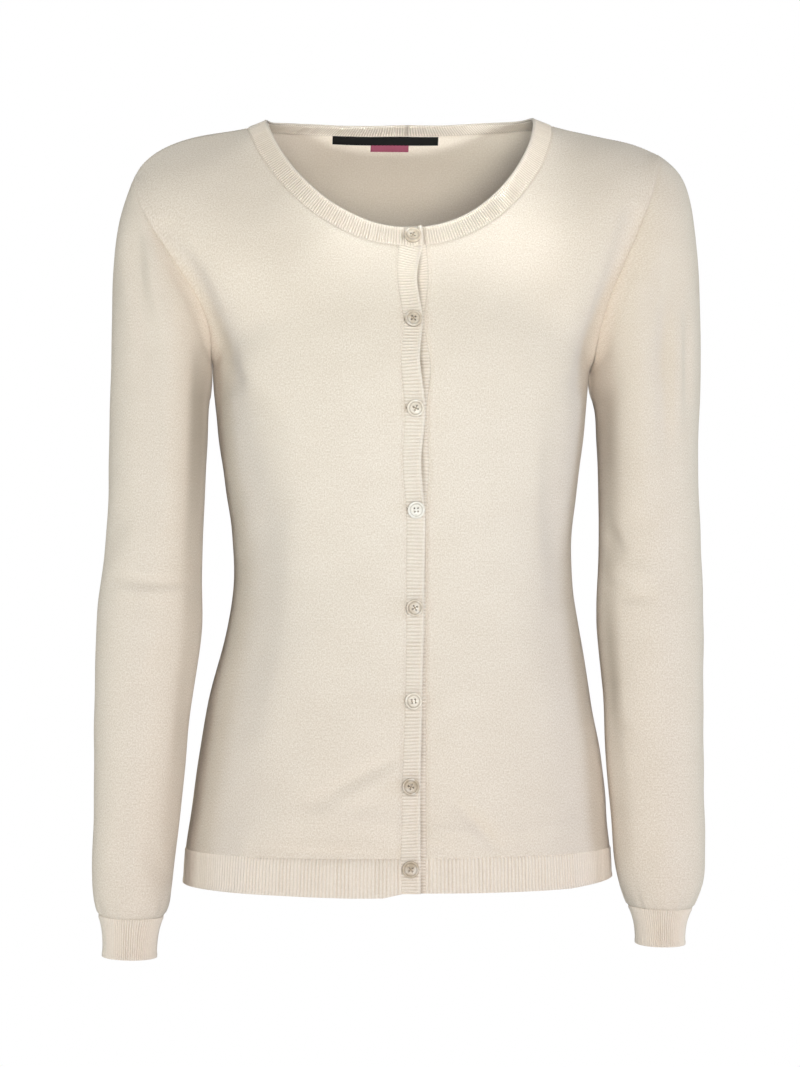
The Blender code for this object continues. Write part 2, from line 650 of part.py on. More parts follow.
def fold_cloth(cloths):
    share_normals(cloths)
    for cloth in cloths:
        cloth.grid = [[point + normal * fold_height(point) for point, normal in zip(row, normals)]
                      for row, normals in zip(cloth.grid, cloth.normals)]
    share_normals(cloths)


def pulled(points, index, closed):
    """A point of a line moved back from the line's end by half of the seam's gap."""
    if closed:
        return points[index]
    if index == 0:
        way = (points[1] - points[0]).normalized()
        return points[0] + way * SEAM_GAP / 2
    if index == len(points) - 1:
        way = (points[-2] - points[-1]).normalized()
        return points[-1] + way * SEAM_GAP / 2
    return points[index]


def seam_clear(grid, tube):
    """The grid with each edge moved back by half of the seam's gap."""
    columns = [list(column) for column in zip(*grid)]
    columns = [[pulled(line, index, False) for index in range(len(line))] for line in columns]
    rows = [list(row) for row in zip(*columns)]
    return [[pulled(row, index, tube) for index in range(len(row))] for row in rows]


def wall_points(cloth, wall):
    outer = cloth.grid
    inner = [[point - normal * wall for point, normal in zip(row, normals)]
             for row, normals in zip(cloth.grid, cloth.normals)]
    return seam_clear(outer, cloth.tube), seam_clear(inner, cloth.tube)


def new_object(name, mesh, material):
    thing = bpy.data.objects.new(name, mesh)
    mesh.materials.append(material)
    garment.objects.link(thing)
    return thing


def close_wall(name, outer, inner, tube, splits, material):
    """A closed wall between an outer and an inner grid; the outer may have finer columns."""
    shape = bmesh.new()
    out = [[shape.verts.new(point) for point in row] for row in outer]
    into = [[shape.verts.new(point) for point in row] for row in inner]
    fine, coarse = len(outer[0]), len(inner[0])
    rows = len(outer)

    def cells(count):
        return range(count) if tube else range(count - 1)

    for r in range(rows - 1):
        for c in cells(fine):
            n = (c + 1) % fine
            shape.faces.new((out[r][c], out[r][n], out[r + 1][n], out[r + 1][c]))
        for c in cells(coarse):
            n = (c + 1) % coarse
            shape.faces.new((into[r + 1][c], into[r + 1][n], into[r][n], into[r][c]))
    for r, turned in ((0, False), (rows - 1, True)):
        for c in cells(coarse):
            run = [out[r][(c * splits + step) % fine] for step in range(splits + 1)]
            loop = run[::-1] + [into[r][c], into[r][(c + 1) % coarse]]
            shape.faces.new(loop[::-1] if turned else loop)
    if not tube:
        for c_out, c_in, turned in ((0, 0, True), (fine - 1, coarse - 1, False)):
            for r in range(rows - 1):
                loop = [out[r][c_out], out[r + 1][c_out], into[r + 1][c_in], into[r][c_in]]
                shape.faces.new(loop[::-1] if turned else loop)
    mesh = bpy.data.meshes.new(name)
    bmesh.ops.recalc_face_normals(shape, faces=shape.faces)
    shape.to_mesh(mesh)
    shape.free()
    mesh.shade_smooth()
    mesh.set_sharp_from_angle(angle=SHARP_ANGLE)
    return new_object(name, mesh, material)


def jersey_piece(name, cloth, material):
    outer, inner = wall_points(cloth, PANEL_WALL)
    return close_wall(name, outer, inner, cloth.tube, 1, material)


def ribbed_piece(name, cloth, material):
    """A wall whose outer points rise and fall across its ribs; its inside is plain."""
    outer, inner = wall_points(cloth, RIB_WALL)
    columns = len(outer[0])
    spans = columns if cloth.tube else columns - 1
    length = sum((outer[0][(c + 1) % columns] - outer[0][c]).length for c in range(spans))
    ribs = max(1, round(length / spans / RIB_PITCH))
    splits = 2 * ribs
    raised = []
    for row, normals in zip(outer, cloth.normals):
        line = []
        for c in range(spans):
            n = (c + 1) % columns
            for step in range(splits):
                share = step / splits
                point = row[c].lerp(row[n], share)
                normal = normals[c].lerp(normals[n], share)
                line.append(point + normal * (RIB_RAISE if step % 2 else 0.0))
        if not cloth.tube:
            line.append(row[-1].copy())
        raised.append(line)
    return close_wall(name, raised, inner, cloth.tube, splits, material)


# ---------------------------------------------------------------- buttons and labels
def button_mesh(material):
    """A four-hole button: a turned disc with a raised rim, facing -Y, with its holes cut."""
    mesh = bpy.data.meshes.new("button_section")
    points = [(turn.out * BUTTON_RADIUS, 0, turn.height * BUTTON_THICK / 2)
              for turn in BUTTON_SECTION]
    mesh.from_pydata(points, [(i, i + 1) for i in range(len(points) - 1)], [])
    disc = bpy.data.objects.new("button_section", mesh)
    cutters.objects.link(disc)
    turn = disc.modifiers.new("turn", "SCREW")
    turn.axis = "Z"
    turn.steps = BUTTON_STEPS
    turn.render_steps = BUTTON_STEPS
    turn.use_merge_vertices = True
    turn.merge_threshold = 0.00002
    holes = bmesh.new()
    for index in range(4):
        angle = math.radians(45 + 90 * index)
        reach = BUTTON_HOLE_SPACING / math.sqrt(2)
        place = Matrix.Translation((reach * math.cos(angle), reach * math.sin(angle), 0))
        bmesh.ops.create_cone(holes, cap_ends=True, segments=BUTTON_HOLE_SIDES,
                              radius1=BUTTON_HOLE_RADIUS, radius2=BUTTON_HOLE_RADIUS,
                              depth=BUTTON_THICK * 2, matrix=place)
    hole_mesh = bpy.data.meshes.new("button_holes")
    holes.to_mesh(hole_mesh)
    holes.free()
    hole_cutter = bpy.data.objects.new("button_holes", hole_mesh)
    hole_cutter.hide_render = True
    hole_cutter.display_type = "WIRE"
    cutters.objects.link(hole_cutter)
    cut = disc.modifiers.new("holes", "BOOLEAN")
    cut.operation = "DIFFERENCE"
    cut.object = hole_cutter
    bpy.context.view_layer.update()
    done = bpy.data.meshes.new_from_object(disc.evaluated_get(
        bpy.context.evaluated_depsgraph_get()))
    bpy.data.objects.remove(disc)
    done.name = "button"
    done.transform(Matrix.Rotation(math.radians(90), 4, "X"))
    done.materials.clear()
    done.materials.append(material)
    return done


def add_buttons(material):
    mesh = button_mesh(material)
    for number, place in enumerate(BUTTONS, start=1):
        above, below = (front_centre(place.across, place.height + way, BAND_LAP + RIB_RAISE)
                        for way in (BUTTON_REACH, -BUTTON_REACH))
        slope = above - below
        lean = math.atan2(slope.y, slope.z)
        stand = BUTTON_CLEAR + BUTTON_THICK / 2
        middle = (above + below) / 2
        button = bpy.data.objects.new("button_%d" % number, mesh)
        button.rotation_euler = (-lean, 0, 0)
        out = Vector((0, -math.cos(lean), math.sin(lean)))
        button.location = middle + out * stand
        garment.objects.link(button)


def patch(name, cloth, centre, width, top_row, height, material):
    """A thin woven piece on the inside of the back: it follows the back's own points."""
    middle = BACK_NECK_COLUMNS + PANEL_COLUMNS
    grid, normals = cloth.grid, cloth.normals
    top = len(grid) - 1
    column_width = (grid[top][middle + 1] - grid[top][middle]).length
    row_height = (grid[top][middle] - grid[top - 1][middle]).length
    first = middle + (centre - width / 2) / column_width
    last = middle + (centre + width / 2) / column_width
    stops = [first] + list(range(math.ceil(first), math.floor(last) + 1)) + [last]

    def inside(column, row, away):
        c, r = int(column), min(int(row), top - 1)
        across, up = column - c, row - r
        low = grid[r][c].lerp(grid[r][c + 1], across)
        high = grid[r + 1][c].lerp(grid[r + 1][c + 1], across)
        normal = normals[r][c].lerp(normals[r][c + 1], across)
        normal = normal.lerp(normals[r + 1][c].lerp(normals[r + 1][c + 1], across), up)
        return low.lerp(high, up) - normal.normalized() * away

    near, far = [], []
    for row in (top_row - height / row_height, top_row):
        row += top
        near.append([inside(stop, row, PANEL_WALL + PATCH_CLEAR + LABEL_THICK) for stop in stops])
        far.append([inside(stop, row, PANEL_WALL + PATCH_CLEAR) for stop in stops])
    return close_wall(name, near, far, False, 1, material)


# ---------------------------------------------------------------- materials
def finish(name, colour, roughness):
    material = bpy.data.materials.new(name)
    material.use_nodes = True
    shader = material.node_tree.nodes["Principled BSDF"]
    shader.inputs["Base Color"].default_value = (*colour, 1)
    shader.inputs["Roughness"].default_value = roughness
    shader.inputs["Metallic"].default_value = 0.0
    material.diffuse_color = (*colour, 1)
    return material


# ---------------------------------------------------------------- build
for old in list(bpy.data.objects):
    bpy.data.objects.remove(old)
garment = bpy.data.collections.new("button_cardigan")
cutters = bpy.data.collections.new("cutters")
bpy.context.scene.collection.children.link(garment)
bpy.context.scene.collection.children.link(cutters)

fronts = {name: front_grid(name) for name in SIDES}
back = back_grid()
sleeves = {name: sleeve_grid(name) for name in SIDES}

jersey = {
    "front_right": Cloth(fronts["right"], -1.0),
    "front_left": Cloth(fronts["left"], 1.0),
    "back": Cloth(back, -1.0),
    "sleeve_right": Cloth(sleeves["right"], 1.0, tube=True),
    "sleeve_left": Cloth(sleeves["left"], -1.0, tube=True),
}
hems = {"hem_rib_front_right": hem_grid(fronts["right"]),
        "hem_rib_front_left": hem_grid(fronts["left"]),
        "hem_rib_back": hem_grid(back)}
bands = {"buttonhole_band": band_grid(fronts["right"], hems["hem_rib_front_right"], "right"),
         "button_band": band_grid(fronts["left"], hems["hem_rib_front_left"], "left")}
ribbed = {
    "hem_rib_front_right": Cloth(hems["hem_rib_front_right"], -1.0),
    "hem_rib_front_left": Cloth(hems["hem_rib_front_left"], 1.0),
    "hem_rib_back": Cloth(hems["hem_rib_back"], -1.0),
    "cuff_right": Cloth(cuff_grid("right", sleeves["right"]), 1.0, tube=True),
    "cuff_left": Cloth(cuff_grid("left", sleeves["left"]), -1.0, tube=True),
    "neckband": Cloth(neckband_grid(fronts, back, bands), -1.0),
}
ribbed["buttonhole_band"] = Cloth(bands["buttonhole_band"], 1.0)
ribbed["button_band"] = Cloth(bands["button_band"], -1.0)
fold_cloth(list(jersey.values()) + list(ribbed.values()))

cream = finish("cream_jersey", CREAM, 0.95)
rib_cream = finish("cream_rib", RIB_CREAM, 0.95)
for name, cloth in jersey.items():
    jersey_piece(name, cloth, cream)
for name, cloth in ribbed.items():
    ribbed_piece(name, cloth, rib_cream)
add_buttons(finish("shell_button", SHELL, 0.25))
patch("neck_label", jersey["back"], LABEL_CENTRE, LABEL_WIDTH, LABEL_TOP, LABEL_HEIGHT,
      finish("label_black", BLACK, 0.6))
patch("size_tab", jersey["back"], TAB_CENTRE, TAB_WIDTH, TAB_TOP, TAB_HEIGHT,
      finish("tab_pink", DUSTY_PINK, 0.7))
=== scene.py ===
# %% [markdown]
# # A fine-knit button cardigan
# A cardigan is a handful of thin knitted panels, linked edge to edge: two fronts, a back and
# two sleeves in plain jersey, and a neckband, two front bands, hem and cuffs in one-by-one rib.
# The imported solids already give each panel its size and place. Here every panel is knitted
# again as a thin shell on the same form, with its ribs, seams, folds, buttons and labels.

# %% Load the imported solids
import json
import math

import bpy
import numpy as np
from mathutils import Matrix, Vector
from mathutils.kdtree import KDTree

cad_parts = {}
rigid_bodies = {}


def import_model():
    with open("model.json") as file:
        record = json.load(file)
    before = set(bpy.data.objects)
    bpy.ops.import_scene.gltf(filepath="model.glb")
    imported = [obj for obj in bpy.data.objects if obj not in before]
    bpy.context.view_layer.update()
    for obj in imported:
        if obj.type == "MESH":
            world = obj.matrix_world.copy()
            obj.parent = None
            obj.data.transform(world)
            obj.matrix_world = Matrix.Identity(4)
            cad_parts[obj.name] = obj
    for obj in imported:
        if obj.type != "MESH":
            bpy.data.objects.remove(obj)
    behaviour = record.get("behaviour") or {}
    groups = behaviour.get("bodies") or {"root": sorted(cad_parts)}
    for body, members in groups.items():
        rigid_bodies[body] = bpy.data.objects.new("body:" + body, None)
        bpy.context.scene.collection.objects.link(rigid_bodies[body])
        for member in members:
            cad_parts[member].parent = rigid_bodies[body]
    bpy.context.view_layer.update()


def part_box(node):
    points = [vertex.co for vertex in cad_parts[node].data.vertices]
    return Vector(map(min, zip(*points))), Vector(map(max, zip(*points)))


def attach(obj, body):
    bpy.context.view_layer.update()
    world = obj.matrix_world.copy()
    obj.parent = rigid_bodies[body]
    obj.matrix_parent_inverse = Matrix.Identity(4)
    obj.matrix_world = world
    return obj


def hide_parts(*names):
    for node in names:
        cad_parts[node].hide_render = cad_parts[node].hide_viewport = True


bpy.ops.object.select_all(action="SELECT")
bpy.ops.object.delete()
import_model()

# %% [markdown]
# ## The garment's lines
# A pattern cutter starts from a few lines: how wide the body is at each height, how far it
# stands out in front and behind, where the front edges run, the neckline, the shoulders, the
# armholes and rings down each sleeve. They are short tables here, and the same as those that
# the solids were made from, so the cloth lies where its solid is.

# %% Body lines: side, centre and front edges
# the wearer's right is towards -x; a table with a column for each side has the right one first
SIDES, COLUMN = {"right": -1.0, "left": 1.0}, {"right": 1, "left": 2}
HEM_BOTTOM, HEM_RIB_TOP = -0.5745, -0.5490
UNDERARM = {"right": -0.1840, "left": -0.1880}
ARMHOLE_ROWS, NECK_ROWS, PANEL_COLUMNS, BACK_NECK_COLUMNS = 12, 9, 8, 5
LAST_LEVEL, HEM_SPREAD = -0.21, 0.5
BAND_LAP, BAND_UNDER, LAP_FADE = 0.0013, 0.0018, 45

# height, right half width, left half width
SIDE_LINE = [
    (-0.580, 0.1655, 0.1620), (-0.535, 0.1597, 0.1577), (-0.480, 0.1521, 0.1521),
    (-0.430, 0.1425, 0.1436), (-0.390, 0.1322, 0.1368), (-0.345, 0.1256, 0.1296),
    (-0.300, 0.1288, 0.1316), (-0.250, 0.1358, 0.1378), (-0.205, 0.1412, 0.1438),
    (-0.180, 0.1424, 0.1450),
]
# height, how far the centre front and the centre back stand out
CENTRE_LINE = [
    (-0.580, 0.1080, 0.1170), (-0.535, 0.1075, 0.1160), (-0.480, 0.1060, 0.1110),
    (-0.430, 0.1030, 0.0990), (-0.390, 0.1005, 0.0890), (-0.345, 0.0995, 0.0830),
    (-0.300, 0.1040, 0.0870), (-0.250, 0.1140, 0.0960), (-0.205, 0.1185, 0.1020),
    (-0.170, 0.1160, 0.1040), (-0.130, 0.1020, 0.1030), (-0.1025, 0.0885, 0.1010),
    (-0.088, 0.0805, 0.0995), (-0.040, 0.0500, 0.0895), (-0.0035, 0.0060, 0.0690),
    (0.0025, 0.0000, 0.0570),
]
# height, free edge of the upper band, its seam, and the seam of the band below
FRONT_EDGE = [
    (-0.5745, 0.0055, -0.0098, 0.0105), (-0.4960, 0.0056, -0.0080, 0.0104),
    (-0.4348, 0.0070, -0.0056, 0.0104), (-0.3675, 0.0088, -0.0044, 0.0108),
    (-0.2955, 0.0088, -0.0052, 0.0106), (-0.2530, 0.0052, -0.0085, 0.0119),
    (-0.2230, 0.0080, -0.0075, 0.0098), (-0.1850, 0.0040, -0.0098, 0.0124),
    (-0.1576, 0.0066, -0.0078, 0.0085), (-0.1270, 0.0034, -0.0112, 0.0128),
    (-0.1025, 0.0075, -0.0093, 0.0120),
]
OVER_EDGE, OVER_SEAM, UNDER_SEAM = 1, 2, 3
NECKBAND_OVER_END, NECKBAND_UNDER_END = 0.0092, -0.0070
# across, height of each button
BUTTONS = [(0.0017, -0.0953), (-0.0003, -0.1578), (0.0007, -0.2222), (0.0023, -0.2954),
           (0.0017, -0.3672), (0.0005, -0.4349), (-0.0018, -0.4967), (-0.0020, -0.5565)]
print("length in mm:", round(-1000 * HEM_BOTTOM), "buttons:", len(BUTTONS))


# %% Soft steps, and a line read between its points
def smooth_step(low, high, value):
    """0 below low, 1 above high, and a soft rise between."""
    t = np.clip((value - low) / (high - low), 0.0, 1.0)
    return t * t * (3 - 2 * t)


def hump(away, reach):
    """1 in the middle, and a soft fall to 0 about two reaches away."""
    return np.exp(-(away / reach) ** 2)


def line_value(table, column, at):
    """A column's value at a height, on a smooth curve through the table's rows."""
    rows = sorted(table)
    at = min(max(at, rows[0][0]), rows[-1][0])
    last = len(rows) - 1
    low = max(index for index in range(last) if rows[index][0] <= at)

    def slope(index):
        before, after = max(index - 1, 0), min(index + 1, last)
        return (rows[after][column] - rows[before][column]) / (rows[after][0] - rows[before][0])

    span = rows[low + 1][0] - rows[low][0]
    t = (at - rows[low][0]) / span
    rise = t * t * (3 - 2 * t)
    return (rows[low][column] * (1 - rise) + rows[low + 1][column] * rise
            + span * slope(low) * t * (1 - t) ** 2 - span * slope(low + 1) * t * t * (1 - t))


print("half width at the waist in mm:", round(1000 * line_value(SIDE_LINE, 1, -0.345)))

# %% Neckline and shoulders
# half width, reach in front and behind, and drop at the front, the shoulder and the back
NECK_EDGE = (0.1010, 0.0805, 0.0570, 0.0880, 0.0000, -0.0025)
NECK_SEAM = (0.1155, 0.0885, 0.0690, 0.1025, 0.0055, 0.0035)
NECK_LIFT = {-1.0: -0.0008, 1.0: 0.0024}  # how much higher the neck stands, right and left
LIFT_IN_FRONT, LIFT_BEHIND = 3, 0.8      # how quickly that fades towards the centre
NECK_FALL, NECK_ROUND, SHOULDER_BACK = 1.36, 0.90, 0.003
# four points of each shoulder line: out and height
SHOULDER = {"right": [(0.1155, -0.0063), (0.1640, -0.0150), (0.1920, -0.0220), (0.2020, -0.0460)],
            "left": [(0.1155, -0.0031), (0.1450, -0.0113), (0.1790, -0.0135), (0.1970, -0.0237)]}


def bezier(points, t):
    """Point on the cubic curve of four control points."""
    s = 1 - t
    return (points[0] * s ** 3 + points[1] * 3 * s * s * t
            + points[2] * 3 * s * t * t + points[3] * t ** 3)


def neck_point(line, side, degrees):
    """Point on a neckline: 0 at the centre front, 90 at the shoulder, 180 at the centre back."""
    half_width, front, back, front_drop, side_drop, back_drop = line
    angle = math.radians(degrees)
    toward = abs(math.cos(angle))
    if degrees <= 90:
        y = -front * toward ** NECK_ROUND
        drop = side_drop + (front_drop - side_drop) * toward ** NECK_FALL
    else:
        y = back * toward ** NECK_ROUND
        drop = side_drop + (back_drop - side_drop) * toward
    fade = LIFT_IN_FRONT if degrees <= 90 else LIFT_BEHIND
    lift = NECK_LIFT[side] * max(math.sin(angle), 0.0) ** fade
    return Vector((side * half_width * math.sin(angle), y, lift - drop))


def shoulder_point(side_name, share):
    """Point on a shoulder seam, from the neck to the sleeve."""
    controls = [Vector((SIDES[side_name] * out, SHOULDER_BACK * index / 3, height))
                for index, (out, height) in enumerate(SHOULDER[side_name])]
    return bezier(controls, share)


print("shoulder to shoulder in mm:",
      round(1000 * (SHOULDER["right"][3][0] + SHOULDER["left"][3][0])))

# %% Side seams and armholes
# reach in front and behind, how the width bows, and how far the sides are scooped
ARMHOLE = {"right": (0.052, 0.057, 1.0, 0.0020, 0.0010),
           "left": (0.052, 0.057, 0.6, 0.0035, 0.0020)}
# share of the way up the armhole, turn away from the front in degrees, fall along the row
ARMHOLE_TURN = [(0.00, 90.0, 0.00), (0.15, 76.0, 0.00), (0.33, 58.0, 0.02), (0.50, 44.0, 0.08),
                (0.67, 32.0, 0.20), (0.83, 18.0, 0.40), (1.00, 0.0, 0.75)]


def side_point(side_name, height):
    """Point on the side seam."""
    out = line_value(SIDE_LINE, COLUMN[side_name], height)
    return Vector((SIDES[side_name] * out, 0, height))


def armhole_point(side_name, degrees):
    """Point on an armhole: 0 at the shoulder, 180 under the arm, by the front; 360 by the back."""
    angle, side = math.radians(degrees), SIDES[side_name]
    front, back, bow, scoop_front, scoop_back = ARMHOLE[side_name]
    top, under = shoulder_point(side_name, 1.0), side_point(side_name, UNDERARM[side_name])
    share = (1 + math.cos(angle)) / 2
    point = under.lerp(top, share)
    bowed = share + (smooth_step(0, 1, share) - share) * bow
    point.x = under.x + (top.x - under.x) * bowed
    in_front = math.sin(angle) > 0
    point.y -= (front if in_front else back) * math.sin(angle)
    point.x -= side * (scoop_front if in_front else scoop_back) * math.sin(angle) ** 2
    return point


print("armholes' tops in mm:", [round(1000 * armhole_point(side, 0).x) for side in SIDES])

# %% Rings down the sleeves and cuffs
# inner side and its height, outer side and its height, forward shift, half depth
SLEEVE = {
    "right": [
        (0.1426, -0.1980, 0.2107, -0.0745, -0.001, 0.0555),
        (0.1444, -0.2160, 0.2150, -0.1080, -0.003, 0.0540),
        (0.1454, -0.2400, 0.2175, -0.1480, -0.006, 0.0515),
        (0.1470, -0.2680, 0.2183, -0.1950, -0.009, 0.0495),
        (0.1484, -0.2980, 0.2193, -0.2450, -0.012, 0.0475),
        (0.1495, -0.3280, 0.2202, -0.2930, -0.015, 0.0455),
        (0.1502, -0.3520, 0.2240, -0.3350, -0.018, 0.0445),
        (0.1504, -0.3780, 0.2280, -0.3680, -0.021, 0.0440),
        (0.1530, -0.4060, 0.2294, -0.4000, -0.025, 0.0430),
        (0.1580, -0.4400, 0.2301, -0.4380, -0.029, 0.0410),
        (0.1625, -0.4790, 0.2309, -0.4780, -0.032, 0.0390),
        (0.1666, -0.5170, 0.2313, -0.5170, -0.034, 0.0370),
        (0.1706, -0.5540, 0.2314, -0.5540, -0.035, 0.0355),
        (0.1734, -0.5800, 0.2309, -0.5800, -0.036, 0.0345),
        (0.1756, -0.5900, 0.2292, -0.5890, -0.036, 0.0330),
        (0.1790, -0.5965, 0.2272, -0.5955, -0.036, 0.0305)],
    "left": [
        (0.1447, -0.1945, 0.2142, -0.0405, 0.000, 0.0560),
        (0.1450, -0.2030, 0.2212, -0.0590, -0.001, 0.0555),
        (0.1482, -0.2180, 0.2250, -0.0930, -0.003, 0.0540),
        (0.1494, -0.2400, 0.2276, -0.1380, -0.006, 0.0515),
        (0.1499, -0.2660, 0.2274, -0.1870, -0.009, 0.0495),
        (0.1499, -0.2960, 0.2260, -0.2380, -0.012, 0.0475),
        (0.1496, -0.3260, 0.2252, -0.2880, -0.015, 0.0455),
        (0.1484, -0.3500, 0.2266, -0.3310, -0.018, 0.0445),
        (0.1477, -0.3760, 0.2279, -0.3650, -0.021, 0.0440),
        (0.1488, -0.4040, 0.2276, -0.3980, -0.025, 0.0430),
        (0.1508, -0.4380, 0.2263, -0.4360, -0.029, 0.0415),
        (0.1528, -0.4780, 0.2260, -0.4780, -0.032, 0.0400),
        (0.1556, -0.5170, 0.2264, -0.5170, -0.034, 0.0385),
        (0.1588, -0.5540, 0.2269, -0.5540, -0.035, 0.0370),
        (0.1630, -0.5765, 0.2245, -0.5770, -0.036, 0.0350),
        (0.1663, -0.5855, 0.2205, -0.5865, -0.036, 0.0330),
        (0.1695, -0.5925, 0.2168, -0.5935, -0.036, 0.0305)],
}
CUFF = {"right": [(0.1815, -0.6030, 0.2258, -0.6020, -0.036, 0.0290),
                  (0.1849, -0.6265, 0.2243, -0.6255, -0.037, 0.0285)],
        "left": [(0.1722, -0.6000, 0.2136, -0.6010, -0.036, 0.0290),
                 (0.1748, -0.6205, 0.2110, -0.6205, -0.037, 0.0285)]}
UNDERARM_CLEARANCE, CLEAR_FROM, CLEAR_FULL = 0.0008, 105, 165


def ring_points(ring, side):
    """Points round one ring: under the arm, front, top, back."""
    inner_out, inner_height, outer_out, outer_height, centre, half_depth = ring
    inner = Vector((side * inner_out, centre, inner_height))
    outer = Vector((side * outer_out, centre, outer_height))
    points = []
    for index in range(2 * ARMHOLE_ROWS):
        angle = math.radians(180 - 180 * index / ARMHOLE_ROWS)
        point = (inner + outer) / 2 + (outer - inner) / 2 * math.cos(angle)
        point.y -= half_depth * math.sin(angle)
        points.append(point)
    return points


def sleeve_rows(side_name):
    """The armhole, then every ring down to the edge of the cuff."""
    side, first = SIDES[side_name], []
    for index in range(2 * ARMHOLE_ROWS):
        degrees = 180 - 180 * index / ARMHOLE_ROWS
        point = armhole_point(side_name, degrees % 360)
        under = smooth_step(CLEAR_FROM, CLEAR_FULL, min(abs(degrees), 360 - abs(degrees)))
        point.x += side * UNDERARM_CLEARANCE * under
        first.append(point)
    rings = SLEEVE[side_name] + CUFF[side_name]
    return [first] + [ring_points(ring, side) for ring in rings]


print("rings down a sleeve and cuff:", len(sleeve_rows("right")))

# %% [markdown]
# ## Rows of points over the body
# A front or a back is drawn as rows that run from its front edge, or from the centre back, to
# the side seam and the armhole, each row one smooth curve with a chosen direction at both ends.
# Above the underarm the points are then relaxed, as a stiff sheet would relax, so that the
# chest runs into the shoulder with no kink.

# %% One row
def front_centre(x, height, lap):
    """Point of the centre front; lap moves it forwards."""
    return Vector((x, -line_value(CENTRE_LINE, 1, height) - lap, height))


def row_curve(start, end, start_way, end_way, start_reach, end_reach, count):
    controls = [start, start + start_way.normalized() * start_reach,
                end - end_way.normalized() * end_reach, end]
    return [bezier(controls, index / count) for index in range(count + 1)]


def upper_row(start, end, start_way, end_way, reach, share, count):
    """A row beside the armhole, at a share of the way up it."""
    chord = (end - start).length
    return row_curve(start, end, start_way, end_way, chord * (reach[0] - reach[1] * share),
                     chord * (reach[2] - reach[3] * share), count)


def armhole_way(side, facing, share):
    """Direction in which a row runs into the armhole."""
    turn = math.radians(line_value(ARMHOLE_TURN, 1, share))
    return Vector((side * math.cos(turn), -facing * math.sin(turn),
                   -line_value(ARMHOLE_TURN, 2, share)))


def body_levels(side_name):
    """Heights of the level rows: one at each button and one half-way between."""
    marks = [height for _, height in BUTTONS]
    halves = [(one + other) / 2 for one, other in zip(marks, marks[1:])]
    inner = [mark for mark in marks + halves if HEM_RIB_TOP < mark < LAST_LEVEL]
    return sorted(inner + [HEM_RIB_TOP, UNDERARM[side_name]])


print("level rows:", len(body_levels("right")), "rows beside an armhole:", ARMHOLE_ROWS)

# %% How rows are relaxed
FAIRING, FAIR_PASSES = 0.45, 30


def table_of(rows):
    return np.array([[tuple(point) for point in row] for row in rows])


def correct_towards(rows, last_line, power):
    """Bend the rows so that the last one lies on a given line, and the others less and less."""
    offsets = [target - point for target, point in zip(last_line, rows[-1])]
    for index, row in enumerate(rows):
        share = ((index + 1) / len(rows)) ** power
        for column, offset in enumerate(offsets):
            row[column] = row[column] + offset * share


def relax(rows, first_row, mirror_rows=0):
    """Spread the bending evenly from a row upwards; the centre fronts mirror each other."""
    grid = table_of(rows)

    def bend(values):
        out = np.zeros_like(values)
        out[1:-1, 1:-1] = (values[:-2, 1:-1] + values[2:, 1:-1] + values[1:-1, :-2]
                           + values[1:-1, 2:]) / 4 - values[1:-1, 1:-1]
        return out

    for _ in range(FAIR_PASSES):
        bends = bend(grid)
        for r in range(1, mirror_rows):
            middle = (grid[r - 1, 0, 1] + grid[r + 1, 0, 1] + 2 * grid[r, 1, 1]) / 4
            bends[r, 0] = (0, middle - grid[r, 0, 1], 0)
        grid[first_row:-1, 1:-1] -= bend(bends)[first_row:-1, 1:-1] * FAIRING
    return grid


print("passes of relaxing:", FAIR_PASSES)

# %% Rows of a front
NECK_ROW_DIP, FRONT_ROW_DIP = 0.60, (0.0, 0.12, 0.30, 0.55)
NECK_AWAY, FULLNESS = Vector((0, -0.3, -1)), 0.60
# how far a row beside the armhole keeps its first way, and its last; then the bend's power
FRONT_REACH, BACK_REACH = (0.46, 0.12, 0.39, 0.05, 4), (0.46, 0.08, 0.36, 0.02, 3)


def hem_row(rows):
    """The hem's edge, a little way on from the lowest rows."""
    spread = HEM_RIB_TOP - HEM_BOTTOM
    bottom = rows[0] + (rows[0] - rows[1]) / (rows[1] - rows[0])[:, 2:] * spread * HEM_SPREAD
    bottom[:, 2] = HEM_BOTTOM
    return np.concatenate([bottom[None], rows])


